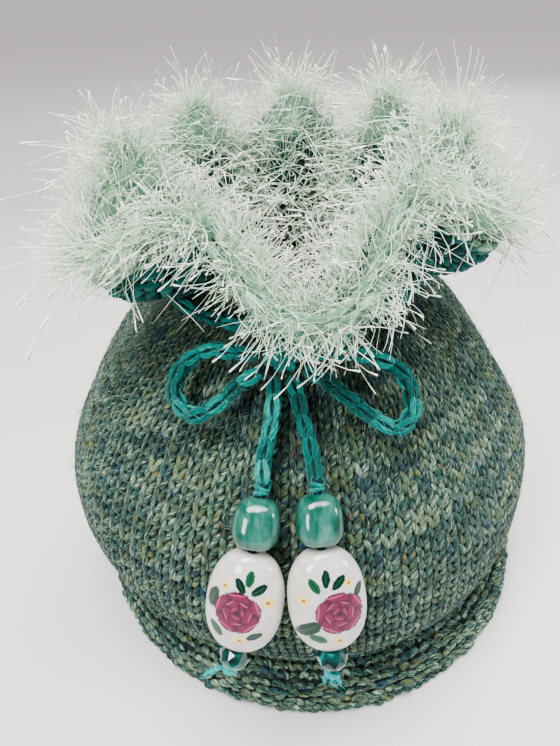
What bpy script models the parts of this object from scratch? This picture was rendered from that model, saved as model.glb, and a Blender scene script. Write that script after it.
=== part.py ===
"""Knitted tea cosy: a tweed cover gathered at the neck, with a fur-yarn frill and a beaded bow.

Metres, +Z up. The front, with the bow, faces -Y. The origin is the middle of the ground under the cosy,
which leans a little to -X of its hem. The spout slit is at -X and the handle slit at +X.
"""

from math import cos, degrees, exp, hypot, pi, radians, sin

import bmesh
import bpy
import numpy as np
from mathutils import Matrix, Vector

# Cloth
CLOTH_THICKNESS = 0.003
JOIN_GAP = 0.0005
HEM_SHIFT = 0.0042
HEM_SHIFT_TOP = 0.045
BODY_LEAN = -HEM_SHIFT / 2
PROFILE_SAMPLES = 400
NORMAL_STEP = 1e-4

# Stations up the cloth's middle line: height, radius, how far a flute stands out, how far its crest drops
STATIONS = (
    ("hem foot", 0.0000, 0.0718, 0.0000, 0.0000),
    ("hem side", 0.0045, 0.0724, 0.0000, 0.0000),
    ("hem shoulder", 0.0105, 0.0702, 0.0000, 0.0000),
    ("crease", 0.0160, 0.0632, 0.0000, 0.0000),
    ("under bulge", 0.0212, 0.0664, 0.0000, 0.0000),
    ("low bulge", 0.0300, 0.0708, 0.0000, 0.0000),
    ("bulge", 0.0440, 0.0728, 0.0000, 0.0000),
    ("high bulge", 0.0580, 0.0712, 0.0004, 0.0000),
    ("shoulder", 0.0705, 0.0662, 0.0010, 0.0000),
    ("upper shoulder", 0.0825, 0.0582, 0.0016, 0.0000),
    ("gathers", 0.0930, 0.0490, 0.0022, 0.0000),
    ("tight gathers", 0.1010, 0.0396, 0.0026, 0.0000),
    ("neck", 0.1075, 0.0305, 0.0024, 0.0000),
    ("neck top", 0.1130, 0.0272, 0.0024, 0.0000),
    ("frill root", 0.1175, 0.0282, 0.0036, 0.0010),
    ("tweed edge", 0.1212, 0.0320, 0.0050, 0.0034),
    ("band middle", 0.1247, 0.0360, 0.0060, 0.0060),
    ("band edge", 0.1285, 0.0396, 0.0064, 0.0080),
    ("edging middle", 0.1335, 0.0426, 0.0064, 0.0082),
    ("rim", 0.1395, 0.0452, 0.0062, 0.0078),
)
CREASE = 3
NECK = 12
TWEED_EDGE = 15
BAND_EDGE = 17
RIM = 19

# Flutes of the frill and the gathers under them
FLUTE_CRESTS = (-152.0, -87.0, -22.0, 22.0, 65.0, 108.0, 152.0)
COLUMNS_PER_FLUTE = 10
FRONT_REACH = 0.005
FRONT_DROOP = 0.008
DROOP_TURN = radians(15)
DROOP_START = 9
DROOP_FOCUS = 1.5

# Hem
HEM_RIDGES = 4
HEM_RIDGE_RELIEF = 0.0007
FOOT_HEIGHT = 0.001

# Slits: azimuth, lowest point, highest point, half width
SLITS = (
    ("spout slit", 180.0, 0.030, 0.084, 0.0085),
    ("handle slit", 0.0, 0.026, 0.090, 0.0075),
)
SLIT_SPREAD = radians(15)
SLIT_ROUNDNESS = 0.8
ON_COLUMN = 1e-6

# Rows of quads up each piece
BODY_ROWS = 11
COLLAR_ROWS = 3
BAND_ROWS = 3
EDGING_ROWS = 3

# Fur locks
LOCK_LENGTH = 0.0154
LOCK_MIDDLE = 0.55
LOCK_MIDDLE_SCALE = 0.62
LOCK_SAG = 0.10
LOCK_FRONT_SAG = 0.35
OUTER_FOCUS = 0.095
RIM_FOCUS = 0.060
INNER_FOCUS = -0.090
RIM_SLOPE = 0.75
LOCK_SHORTEST = 0.8
LOCK_SPREAD = 0.4
LOCK_STEP = 2
LOCK_SEED = 11

# Cord and bow: the routes' own points, in millimetres
CORD_RADIUS = 0.0019
STEPS_BETWEEN_POINTS = 3
NECK_CORD_STATION = 12.75
NECK_CORD_DIP = 0.0010
NECK_CORD_CLEARANCE = 0.0016
KNOT_PLACE = (-6.1, -41.7, 106.6)
KNOT_TURN = -7.0
KNOT_SIZE = (0.0052, 0.0044, 0.0042)
LEFT_LOOP = (
    (-11.9, -41.9, 107.0),
    (-17.5, -41.0, 107.3),
    (-23.1, -38.4, 106.5),
    (-28.5, -38.6, 104.0),
    (-31.5, -41.4, 101.0),
    (-31.7, -45.4, 98.2),
    (-27.7, -50.0, 96.6),
    (-23.3, -50.4, 98.2),
    (-19.5, -48.7, 100.4),
    (-15.7, -46.0, 102.5),
    (-11.7, -43.8, 103.4),
)
RIGHT_LOOP = (
    (-0.9, -43.9, 103.4),
    (3.1, -47.6, 103.2),
    (7.9, -51.4, 100.6),
    (13.7, -54.7, 97.0),
    (18.9, -55.4, 94.8),
    (22.3, -52.4, 96.2),
    (22.8, -47.8, 99.4),
    (20.5, -44.3, 102.6),
    (14.9, -42.6, 105.2),
    (7.9, -42.4, 106.8),
    (-0.4, -41.9, 107.1),
)
LEFT_TAIL = (
    (-8.3, -44.9, 101.9),
    (-8.6, -49.6, 100.4),
    (-9.3, -53.8, 97.6),
    (-10.5, -57.2, 94.2),
    (-11.5, -60.2, 91.1),
)
RIGHT_TAIL = (
    (-4.1, -45.1, 101.9),
    (-3.3, -49.9, 100.2),
    (-2.3, -54.1, 97.4),
    (-1.4, -57.5, 94.2),
    (-0.7, -60.7, 91.5),
)

# Bead strings: where the axis enters the nugget, the oval and the crystal, and leaves it, in millimetres
LEFT_STRING = ((-12.3, -65.7, 85.8), (-14.5, -72.8, 76.7), (-19.4, -81.4, 53.0), (-21.0, -81.6, 46.8))
RIGHT_STRING = ((0.1, -65.9, 86.6), (0.3, -73.2, 77.4), (2.2, -82.7, 53.9), (2.3, -83.5, 47.6))
BORE_RADIUS = 0.00108
BORE_CUTTER_LENGTH = 0.05
THREAD_RADIUS = 0.0007
NUGGET_WIDTH = 0.0100
NUGGET_DEPTH = 0.0094
NUGGET_SQUARENESS = 0.42
OVAL_WIDTH = 0.0176
OVAL_DEPTH = 0.0104
CRYSTAL_WIDTH = 0.0076
CRYSTAL_TABLE = 0.28
CRYSTAL_SIDES = 8
BEAD_GAP = 0.0005
TAIL_STRAIGHT = 0.0022
END_KNOT_SIZE = (0.0055, 0.0024, 0.0026)

CLOTH_CREASE_ANGLE = radians(40)
BEAD_CREASE_ANGLE = radians(30)

COLOURS = {
    "tweed": ((0.19, 0.27, 0.24), 0.95, 0.0),
    "teal_wool": ((0.03, 0.31, 0.26), 0.9, 0.0),
    "mint_fur": ((0.74, 0.84, 0.78), 0.6, 0.0),
    "jade": ((0.10, 0.45, 0.34), 0.15, 0.0),
    "white_glaze": ((0.82, 0.80, 0.76), 0.1, 0.0),
    "crystal": ((0.0, 0.32, 0.27), 0.03, 0.0),
}


def material(name):
    found = bpy.data.materials.get(name)
    if found:
        return found
    colour, roughness, metallic = COLOURS[name]
    made = bpy.data.materials.new(name)
    made.use_nodes = True
    shader = made.node_tree.nodes["Principled BSDF"]
    shader.inputs["Base Color"].default_value = (*colour, 1.0)
    shader.inputs["Roughness"].default_value = roughness
    shader.inputs["Metallic"].default_value = metallic
    return made


def collection(name):
    made = bpy.data.collections.new(name)
    bpy.context.scene.collection.children.link(made)
    return made


def add_object(name, data, finish, group):
    made = bpy.data.objects.new(name, data)
    if not data.materials:
        data.materials.append(material(finish))
    group.objects.link(made)
    return made


def smooth_mesh(mesh, angle=CLOTH_CREASE_ANGLE):
    mesh.shade_smooth()
    mesh.set_sharp_from_angle(angle=angle)


# The cloth's shape
def catmull_rom(before, start, end, after, t):
    return 0.5 * (
        2 * start
        + (end - before) * t
        + (2 * before - 5 * start + 4 * end - after) * t * t
        + (3 * start - before - 3 * end + after) * t ** 3
    )


def profile(station):
    """Height, radius, flute reach and flute drop at a station number, which need not be whole."""
    rows = [np.array(row[1:]) for row in STATIONS]
    low = min(int(station), len(rows) - 2)
    before = rows[low - 1] if low else 2 * rows[0] - rows[1]
    after = rows[low + 2] if low + 2 < len(rows) else 2 * rows[-1] - rows[-2]
    return catmull_rom(before, rows[low], rows[low + 1], after, station - low)


def flute_wave(azimuth):
    """1 on the crest of a flute, -1 in the valley between two."""
    angle = degrees(azimuth) % 360
    crests = [crest % 360 for crest in FLUTE_CRESTS]
    back = min((angle - crest) % 360 for crest in crests)
    ahead = min((crest - angle) % 360 for crest in crests)
    span = back + ahead
    return cos(2 * pi * back / span) if span else 1.0


def slit_shift(azimuth, height, radius, side):
    """How far round the axis the cloth is drawn aside by a slit, with its edges parted."""
    shift = 0.0
    for _, centre, low, high, half_width in SLITS:
        if low < height < high:
            away = (azimuth - radians(centre) + pi) % (2 * pi) - pi
            opening = half_width * cos(pi * ((height - low) / (high - low) - 0.5)) ** SLIT_ROUNDNESS
            sign = side if abs(away) < ON_COLUMN else (1 if away > 0 else -1)
            shift += sign * opening / radius * exp(-abs(away) / SLIT_SPREAD)
    return shift


def cloth_point(azimuth, station, side=1):
    """A point of the cloth's middle surface; side says which edge is meant where a slit parts it."""
    height, radius, reach, drop = profile(station)
    wave = flute_wave(azimuth)
    collar = min(max((station - DROOP_START) / (RIM - DROOP_START), 0.0), 1.0)
    front = ((1 - sin(azimuth + DROOP_TURN)) / 2) ** DROOP_FOCUS * collar
    turned = azimuth + slit_shift(azimuth, height, radius, side)
    radius += reach * wave + FRONT_REACH * front * collar
    height -= drop * wave + FRONT_DROOP * front
    lean = BODY_LEAN + HEM_SHIFT * (1 - min(height / HEM_SHIFT_TOP, 1.0))
    return Vector((radius * cos(turned) + lean, radius * sin(turned), height))


def column_azimuths():
    """Columns of the cloth: the same number in each flute, the first at the handle slit's flute."""
    azimuths = []
    for index, crest in enumerate(FLUTE_CRESTS):
        following = FLUTE_CRESTS[(index + 1) % len(FLUTE_CRESTS)]
        span = (following - crest) % 360
        azimuths += [radians(crest + span * step / COLUMNS_PER_FLUTE) for step in range(COLUMNS_PER_FLUTE)]
    return azimuths


def cloth_length(first, last):
    """Station numbers from first to last and how far up the cloth each one is."""
    fine = np.linspace(first, last, PROFILE_SAMPLES)
    line = np.array([profile(station)[:2] for station in fine])
    return fine, np.concatenate([[0], np.cumsum(np.hypot(*np.diff(line, axis=0).T))])


def even_stations(first, last, count):
    """Station numbers that part the cloth from first to last into lengths that are the same."""
    fine, length = cloth_length(first, last)
    return np.interp(np.linspace(0, length[-1], count + 1), length, fine)


def end_gap(first, last, start_gap, stop_gap):
    """The same stretch of stations, drawn in at its ends by a gap in metres."""
    fine, length = cloth_length(first, last)
    return tuple(np.interp([start_gap, length[-1] - stop_gap], length, fine))


def slit_at(azimuth, height):
    for _, centre, low, high, _ in SLITS:
        away = (azimuth - radians(centre) + pi) % (2 * pi) - pi
        if abs(away) < ON_COLUMN and low < height < high:
            return True
    return False


def cloth_normal(azimuth, station, side):
    """Outward unit normal of the cloth's middle surface."""
    across = cloth_point(azimuth + side * NORMAL_STEP, station, side) - cloth_point(azimuth, station, side)
    lower, upper = station - NORMAL_STEP, station + NORMAL_STEP
    along = cloth_point(azimuth, upper, side) - cloth_point(azimuth, lower, side)
    return (across.cross(along) * side).normalized()


def cloth_shell(name, stations, relief=None):
    """A closed wall of quads round the cosy, its ends square to the cloth, parted along each slit.

    The ends are built square from the surface's own normal, so that two pieces knitted on to each
    other meet with an even gap, which a Solidify modifier's averaged border doesn't give.
    """
    shell = bmesh.new()
    azimuths = column_azimuths()
    rows = []
    for row, station in enumerate(stations):
        height = profile(station)[0]
        bump = relief[row] if relief else 0.0
        ring = []
        for azimuth in azimuths:
            sides = (-1, 1) if slit_at(azimuth, height) else (1,)
            pairs = []
            for side in sides:
                middle = cloth_point(azimuth, station, side)
                normal = cloth_normal(azimuth, station, side)
                if height < FOOT_HEIGHT:
                    normal.z = 0.0
                    normal.normalize()
                outer = shell.verts.new(middle + normal * (CLOTH_THICKNESS / 2 + bump))
                inner = shell.verts.new(middle - normal * (CLOTH_THICKNESS / 2 - bump))
                pairs.append((outer, inner))
            ring.append(pairs)
        rows.append(ring)
    count = len(azimuths)
    for lower, upper in zip(rows, rows[1:]):
        for column in range(count):
            after = (column + 1) % count
            corners = (lower[column][-1], lower[after][0], upper[after][0], upper[column][-1])
            shell.faces.new([pair[0] for pair in corners])
            shell.faces.new([pair[1] for pair in reversed(corners)])
            if len(lower[column]) > 1 or len(upper[column]) > 1:
                close_slit(shell, lower[column], upper[column])
    for ring, flip in ((rows[0], True), (rows[-1], False)):
        for column in range(count):
            first, second = ring[column][-1], ring[(column + 1) % count][0]
            if flip:
                shell.faces.new((first[0], first[1], second[1], second[0]))
            else:
                shell.faces.new((first[0], second[0], second[1], first[1]))
    mesh = bpy.data.meshes.new(name)
    shell.to_mesh(mesh)
    shell.free()
    return mesh


def close_slit(shell, foot, head):
    """Faces of the cloth's edge on both sides of a slit, between two rows."""
    for side, turned in ((0, False), (-1, True)):
        corners = [foot[side][0], foot[side][1], head[side][1], head[side][0]]
        shell.faces.new(reversed(corners) if turned else corners)


def make_body(group):
    hem = list(even_stations(0, CREASE, 2 * HEM_RIDGES))
    body = list(even_stations(CREASE, NECK, BODY_ROWS))[1:]
    collar_end = end_gap(NECK, TWEED_EDGE, 0.0, JOIN_GAP / 2)[1]
    collar = list(even_stations(NECK, collar_end, COLLAR_ROWS))[1:]
    ridges = [HEM_RIDGE_RELIEF * (1 if row % 2 else -1) for row in range(len(hem))]
    ridges[0] = ridges[-1] = 0.0
    relief = ridges + [0.0] * (len(body) + len(collar))
    mesh = cloth_shell("body", hem + body + collar, relief)
    smooth_mesh(mesh)
    return add_object("body", mesh, "tweed", group)


def make_frill_band(group):
    first, last = end_gap(TWEED_EDGE, BAND_EDGE, JOIN_GAP / 2, JOIN_GAP / 2)
    mesh = cloth_shell("frill_band", even_stations(first, last, BAND_ROWS))
    smooth_mesh(mesh)
    return add_object("frill_band", mesh, "teal_wool", group)


def lock_direction(root, normal):
    """Locks of one side of the strip spread from one point on the axis, so they never cross."""
    if normal.z > RIM_SLOPE:
        focus = RIM_FOCUS
    else:
        outside = normal.x * (root.x - BODY_LEAN) + normal.y * root.y > 0
        focus = OUTER_FOCUS if outside else INNER_FOCUS
    direction = (root - Vector((BODY_LEAN, 0, focus))).normalized()
    front = max(0.0, -root.y / hypot(root.x - BODY_LEAN, root.y)) ** 2
    direction.z -= LOCK_SAG + LOCK_FRONT_SAG * front * (1 if focus != INNER_FOCUS else 0)
    return direction.normalized()


def grow_lock(mesh, face, rng):
    """A four-sided lock drawn out of one face of the strip, tapered to a point."""
    root = face.calc_center_median()
    direction = lock_direction(root, face.normal)
    length = LOCK_LENGTH * (LOCK_SHORTEST + LOCK_SPREAD * rng.random())
    grown = bmesh.ops.extrude_discrete_faces(mesh, faces=[face])["faces"][0]
    middle = root + direction * length * LOCK_MIDDLE
    for vertex in grown.verts:
        vertex.co = middle + (vertex.co - root) * LOCK_MIDDLE_SCALE
    tip = bmesh.ops.extrude_discrete_faces(mesh, faces=[grown])["faces"][0]
    bmesh.ops.pointmerge(mesh, verts=list(tip.verts), merge_co=root + direction * length)


def make_fur_edging(group):
    first, last = end_gap(BAND_EDGE, RIM, JOIN_GAP / 2, 0.0)
    solid = cloth_shell("fur_edging", even_stations(first, last, EDGING_ROWS))
    mesh = bmesh.new()
    mesh.from_mesh(solid)
    mesh.normal_update()
    mesh.faces.ensure_lookup_table()
    rng = np.random.default_rng(LOCK_SEED)
    chosen = [face for face in mesh.faces if face.index % LOCK_STEP == 0 and face.normal.z > -RIM_SLOPE]
    for face in chosen:
        grow_lock(mesh, face, rng)
    mesh.to_mesh(solid)
    mesh.free()
    return add_object("fur_edging", solid, "mint_fur", group)


# The cord
def millimetres(point):
    return Vector(point) * 0.001


def smooth_route(points, steps, closed=False):
    """Points of one smooth curve through the route's own points."""
    count = len(points)
    route = []
    for index in range(count if closed else count - 1):
        start = points[index]
        end = points[(index + 1) % count]
        before = points[index - 1] if index or closed else 2 * start - end
        after = points[(index + 2) % count] if index + 2 < count or closed else 2 * end - start
        route += [catmull_rom(before, start, end, after, step / steps) for step in range(steps)]
    if not closed:
        route.append(points[-1])
    return route


def add_cord(name, route, radius, group, closed=False, resolution=2, finish="teal_wool"):
    curve = bpy.data.curves.new(name, "CURVE")
    curve.dimensions = "3D"
    curve.bevel_depth = radius
    curve.bevel_resolution = resolution
    curve.use_fill_caps = not closed
    spline = curve.splines.new("POLY")
    spline.points.add(len(route) - 1)
    for point, place in zip(spline.points, route):
        point.co = (*place, 1.0)
    spline.use_cyclic_u = closed
    return add_object(name, curve, finish, group)


def make_neck_cord(group):
    """The drawstring, which rides on the crests of the gathers and dips a little between them."""
    reach = profile(NECK_CORD_STATION)[2]
    ring = []
    for azimuth in column_azimuths():
        place = cloth_point(azimuth, NECK_CORD_STATION)
        valley = (1 - flute_wave(azimuth)) / 2
        stand = CLOTH_THICKNESS / 2 + NECK_CORD_CLEARANCE + CORD_RADIUS
        stand += (2 * reach - NECK_CORD_DIP) * valley
        ring.append(place + Vector((cos(azimuth), sin(azimuth), 0)) * stand)
    return add_cord("neck_cord", ring, CORD_RADIUS, group, closed=True)


def make_knot(group):
    mesh = bpy.data.meshes.new("bow_knot")
    knot = bmesh.new()
    bmesh.ops.create_uvsphere(knot, u_segments=16, v_segments=10, radius=1.0)
    bmesh.ops.scale(knot, vec=KNOT_SIZE, verts=knot.verts)
    knot.to_mesh(mesh)
    knot.free()
    smooth_mesh(mesh)
    made = add_object("bow_knot", mesh, "teal_wool", group)
    made.location = millimetres(KNOT_PLACE)
    made.rotation_euler = (0, 0, radians(KNOT_TURN))
    return made


# The beads
def bored(name, shape, finish, group, cutters):
    """A bead's solid with its bore cut through along Z."""
    mesh = bpy.data.meshes.new(name)
    shape.to_mesh(mesh)
    shape.free()
    bead = add_object(name, mesh, finish, group)
    cutter = cutters.objects.get("bore_cutter")
    if cutter is None:
        drill = bpy.data.meshes.new("bore_cutter")
        tool = bmesh.new()
        bmesh.ops.create_cone(
            tool, cap_ends=True, segments=12, radius1=BORE_RADIUS, radius2=BORE_RADIUS, depth=BORE_CUTTER_LENGTH
        )
        tool.to_mesh(drill)
        tool.free()
        cutter = bpy.data.objects.new("bore_cutter", drill)
        cutter.hide_render = True
        cutter.display_type = "WIRE"
        cutters.objects.link(cutter)
    cut = bead.modifiers.new("bore", "BOOLEAN")
    cut.operation = "DIFFERENCE"
    cut.solver = "EXACT"
    cut.object = cutter
    evaluated = bead.evaluated_get(bpy.context.evaluated_depsgraph_get())
    cut_mesh = bpy.data.meshes.new_from_object(evaluated)
    bead.modifiers.clear()
    bead.data = cut_mesh
    smooth_mesh(cut_mesh, BEAD_CREASE_ANGLE)
    return bead


def oval_shape(length):
    shape = bmesh.new()
    bmesh.ops.create_uvsphere(shape, u_segments=20, v_segments=14, radius=0.5)
    bmesh.ops.scale(shape, vec=(OVAL_WIDTH, OVAL_DEPTH, length), verts=shape.verts)
    return shape


def nugget_shape(length):
    """A rounded barrel: a sphere drawn part of the way out to the box that holds it."""
    shape = bmesh.new()
    bmesh.ops.create_uvsphere(shape, u_segments=16, v_segments=12, radius=1.0)
    for vertex in shape.verts:
        boxed = vertex.co / max(abs(side) for side in vertex.co)
        vertex.co = vertex.co.lerp(boxed, NUGGET_SQUARENESS)
    bmesh.ops.scale(shape, vec=(NUGGET_WIDTH / 2, NUGGET_DEPTH / 2, length / 2), verts=shape.verts)
    return shape


def crystal_shape(length):
    """A cut bead: eight-sided, widest at its middle."""
    shape = bmesh.new()
    for height, foot, head in ((-0.25, CRYSTAL_TABLE, 0.5), (0.25, 0.5, CRYSTAL_TABLE)):
        half = bmesh.new()
        bmesh.ops.create_cone(
            half,
            cap_ends=True,
            segments=CRYSTAL_SIDES,
            radius1=foot * CRYSTAL_WIDTH,
            radius2=head * CRYSTAL_WIDTH,
            depth=length / 2,
            matrix=Matrix.Translation((0, 0, height * length)),
        )
        caps = [face for face in half.faces if len(face.verts) == CRYSTAL_SIDES]
        middle = min(caps, key=lambda face: abs(face.calc_center_median().z))
        bmesh.ops.delete(half, geom=[middle], context="FACES_ONLY")
        piece = bpy.data.meshes.new("crystal_half")
        half.to_mesh(piece)
        half.free()
        shape.from_mesh(piece)
        bpy.data.meshes.remove(piece)
    bmesh.ops.remove_doubles(shape, verts=shape.verts, dist=1e-6)
    return shape


def axis_frame(foot, head):
    """A frame at the middle of foot and head, +Z from foot to head, -Y out of the cloth."""
    up = (head - foot).normalized()
    away = Vector((foot.x - BODY_LEAN, foot.y, 0)).normalized()
    across = up.cross(-away).normalized() * -1
    depth = up.cross(across)
    turn = Matrix((across, depth, up)).transposed().to_4x4()
    return Matrix.Translation((foot + head) / 2) @ turn


def make_end_knot(name, frame, group):
    """The knot that keeps the crystal on, drawn out sideways by its yarn ends."""
    shape = bmesh.new()
    bmesh.ops.create_uvsphere(shape, u_segments=12, v_segments=8, radius=1.0)
    bmesh.ops.scale(shape, vec=END_KNOT_SIZE, verts=shape.verts)
    mesh = bpy.data.meshes.new(name)
    shape.to_mesh(mesh)
    shape.free()
    smooth_mesh(mesh)
    knot = add_object(name, mesh, "teal_wool", group)
    knot.matrix_world = frame
    return knot


def make_string(side, tail, string, group, cutters):
    """One tail with its thread, three beads and end knot."""
    stops = [millimetres(point) for point in string]
    kinds = (
        ("nugget_bead", nugget_shape, "jade"),
        ("oval_bead", oval_shape, "white_glaze"),
        ("crystal_bead", crystal_shape, "crystal"),
    )
    for (kind, shape, finish), head, foot in zip(kinds, stops, stops[1:]):
        length = (head - foot).length - BEAD_GAP
        bead = bored(f"{kind}_{side}", shape(length), finish, group, cutters)
        bead.matrix_world = axis_frame(foot, head)
    down = (stops[3] - stops[2]).normalized()
    knot_top = stops[3] + down * BEAD_GAP
    knot_middle = knot_top + down * END_KNOT_SIZE[2]
    frame = axis_frame(knot_middle + down * BEAD_GAP, knot_middle - down * BEAD_GAP)
    make_end_knot(f"end_knot_{side}", frame, group)
    thread = stops[:3] + [knot_top - down * BEAD_GAP]
    add_cord(f"bead_thread_{side}", thread, THREAD_RADIUS, group)
    into = (stops[0] - stops[1]).normalized()
    end = [stops[0] + into * TAIL_STRAIGHT, stops[0] + into * BEAD_GAP]
    points = [millimetres(point) for point in tail] + end
    add_cord(f"tail_{side}", smooth_route(points, STEPS_BETWEEN_POINTS), CORD_RADIUS, group)


def main():
    for item in list(bpy.data.objects):
        bpy.data.objects.remove(item)
    group = collection("tea_cosy")
    cutters = collection("cutters")
    make_body(group)
    make_frill_band(group)
    make_fur_edging(group)
    make_neck_cord(group)
    make_knot(group)
    for name, loop in (("bow_loop_left", LEFT_LOOP), ("bow_loop_right", RIGHT_LOOP)):
        route = smooth_route([millimetres(point) for point in loop], STEPS_BETWEEN_POINTS)
        add_cord(name, route, CORD_RADIUS, group)
    make_string("left", LEFT_TAIL, LEFT_STRING, group, cutters)
    make_string("right", RIGHT_TAIL, RIGHT_STRING, group, cutters)


main()
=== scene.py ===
"""Knitted tea cosy, dressed over its solids: tweed stitches, a fur-yarn frill, a crochet bow and beads.

Metres, +Z up, the front at -Y. The sections follow the cosy from the knitted cloth outwards to the bow and
its beads, and the studio comes last.
"""

from math import cos, pi, radians, sin

import bmesh
import bpy
import numpy as np
from mathutils import Matrix, Vector


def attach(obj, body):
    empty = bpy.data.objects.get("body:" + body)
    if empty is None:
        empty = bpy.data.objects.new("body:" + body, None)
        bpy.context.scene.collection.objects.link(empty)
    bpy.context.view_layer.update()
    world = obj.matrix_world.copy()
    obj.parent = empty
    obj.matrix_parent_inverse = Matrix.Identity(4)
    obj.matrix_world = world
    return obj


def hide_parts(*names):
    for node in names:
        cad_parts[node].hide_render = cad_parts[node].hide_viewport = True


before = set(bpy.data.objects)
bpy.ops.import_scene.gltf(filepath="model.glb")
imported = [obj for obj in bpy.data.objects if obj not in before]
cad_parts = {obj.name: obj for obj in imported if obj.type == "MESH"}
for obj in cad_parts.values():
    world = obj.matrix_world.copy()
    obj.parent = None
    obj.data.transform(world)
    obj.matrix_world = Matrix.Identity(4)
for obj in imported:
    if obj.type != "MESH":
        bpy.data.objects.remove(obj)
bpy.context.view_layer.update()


# The cosy's cloth
# One knitted wall with a garter hem, a round body, a gathered neck and a fluted frill, parted by a slit for
# the spout and one for the handle. The shape repeats the solids' own driving sizes. This wall is the backing
# that closes the gaps between the stitches, and its inner face is the purl side; it is coloured darker than
# the tweed yarn, as painted shade in those gaps.
HEM_SHIFT = 0.0042
HEM_SHIFT_TOP = 0.045
BODY_LEAN = -HEM_SHIFT / 2
STATIONS = np.array((
    (0.0000, 0.0718, 0.0000, 0.0000),
    (0.0045, 0.0724, 0.0000, 0.0000),
    (0.0105, 0.0702, 0.0000, 0.0000),
    (0.0160, 0.0632, 0.0000, 0.0000),
    (0.0212, 0.0664, 0.0000, 0.0000),
    (0.0300, 0.0708, 0.0000, 0.0000),
    (0.0440, 0.0728, 0.0000, 0.0000),
    (0.0580, 0.0712, 0.0004, 0.0000),
    (0.0705, 0.0662, 0.0010, 0.0000),
    (0.0825, 0.0582, 0.0016, 0.0000),
    (0.0930, 0.0490, 0.0022, 0.0000),
    (0.1010, 0.0396, 0.0026, 0.0000),
    (0.1075, 0.0305, 0.0024, 0.0000),
    (0.1130, 0.0272, 0.0024, 0.0000),
    (0.1175, 0.0282, 0.0036, 0.0010),
    (0.1212, 0.0320, 0.0050, 0.0034),
    (0.1247, 0.0360, 0.0060, 0.0060),
    (0.1285, 0.0396, 0.0064, 0.0080),
    (0.1335, 0.0426, 0.0064, 0.0082),
    (0.1395, 0.0452, 0.0062, 0.0078),
))
CREASE = 3
TWEED_EDGE = 15
BAND_EDGE = 17
RIM = 19
FLUTE_CRESTS = np.array((-152.0, -87.0, -22.0, 22.0, 65.0, 108.0, 152.0))
FRONT_REACH = 0.005
FRONT_DROOP = 0.008
DROOP_TURN = radians(15)
DROOP_START = 9
DROOP_FOCUS = 1.5
SLITS = ((pi, 0.030, 0.084, 0.0085), (0.0, 0.026, 0.090, 0.0075))
SLIT_SPREAD = radians(15)
SLIT_ROUNDNESS = 0.8
ON_SLIT = 1e-6
SLOPE_STEP = 1e-4
BACKING_OUTER = 0.0008
BACKING_INNER = -0.0013
BACKING_COLUMNS = 144
BACKING_ROW = 0.0021
WELD = 2e-6


def smooth_between(before, start, end, after, t):
    """A smooth way from start to end that follows the neighbours on either side."""
    return 0.5 * (
        2 * start
        + (end - before) * t
        + (2 * before - 5 * start + 4 * end - after) * t**2
        + (3 * start - before - 3 * end + after) * t**3
    )


def profile(station):
    """Height, radius, flute reach and flute drop at each station number."""
    table = np.vstack([2 * STATIONS[0] - STATIONS[1], STATIONS, 2 * STATIONS[-1] - STATIONS[-2]])
    low = np.clip(np.floor(station).astype(int), 0, len(STATIONS) - 2)
    t = (station - low)[..., None]
    curve = smooth_between(*(table[low + step] for step in range(4)), t)
    return np.moveaxis(curve, -1, 0)


def flute_wave(azimuth):
    """1 on the crest of a flute, -1 in the valley between two."""
    angle = np.degrees(azimuth)[..., None]
    back = ((angle - FLUTE_CRESTS) % 360).min(-1)
    ahead = ((FLUTE_CRESTS - angle) % 360).min(-1)
    return np.cos(2 * pi * back / np.maximum(back + ahead, SLOPE_STEP))


def slit_shift(azimuth, height, radius, side):
    """How far round the axis the cloth is drawn aside by the slits."""
    shift = np.zeros_like(azimuth)
    for centre, low, high, half_width in SLITS:
        away = (azimuth - centre + pi) % (2 * pi) - pi
        share = np.clip((height - low) / (high - low), 0, 1)
        opening = half_width * np.abs(np.cos(pi * (share - 0.5))) ** SLIT_ROUNDNESS
        opening = np.where((height > low) & (height < high), opening, 0.0)
        sign = np.where(np.abs(away) < ON_SLIT, side, np.sign(away))
        shift += sign * opening / radius * np.exp(-np.abs(away) / SLIT_SPREAD)
    return shift


def cloth_middle(azimuth, station, side=1):
    """Points of the cloth's middle surface."""
    azimuth, station = np.broadcast_arrays(np.asarray(azimuth, float), np.asarray(station, float))
    height, radius, reach, drop = profile(station)
    wave = flute_wave(azimuth)
    collar = np.clip((station - DROOP_START) / (RIM - DROOP_START), 0, 1)
    front = ((1 - np.sin(azimuth + DROOP_TURN)) / 2) ** DROOP_FOCUS * collar
    turned = azimuth + slit_shift(azimuth, height, radius, side)
    radius = radius + reach * wave + FRONT_REACH * front * collar
    height = height - drop * wave - FRONT_DROOP * front
    lean = BODY_LEAN + HEM_SHIFT * (1 - np.minimum(height / HEM_SHIFT_TOP, 1))
    return np.stack([radius * np.cos(turned) + lean, radius * np.sin(turned), height], -1)


def unit(vectors):
    """The same directions with a length of one."""
    return vectors / np.maximum(np.linalg.norm(vectors, axis=-1, keepdims=True), 1e-12)


def cloth_frame(azimuth, station, side=1):
    """Where the cloth is, which way it runs round the axis and upwards, and its outward normal."""
    azimuth, station = np.broadcast_arrays(np.asarray(azimuth, float), np.asarray(station, float))
    here = cloth_middle(azimuth, station, side)
    along = (cloth_middle(azimuth + side * SLOPE_STEP, station, side) - here) * side
    above = cloth_middle(azimuth, station + SLOPE_STEP, side)
    below = cloth_middle(azimuth, station - SLOPE_STEP, side)
    along, upwards = unit(along), unit(above - below)
    return here, along, upwards, unit(np.cross(along, upwards))


def even_stations(first, last, spacing):
    """Station numbers from first to last that part the cloth into lengths close to the spacing."""
    fine = np.linspace(first, last, 800)
    height, radius = profile(fine)[:2]
    length = np.concatenate([[0], np.cumsum(np.hypot(np.diff(height), np.diff(radius)))])
    count = max(1, round(length[-1] / spacing))
    return np.interp(np.linspace(0, length[-1], count + 1), length, fine)


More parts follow.
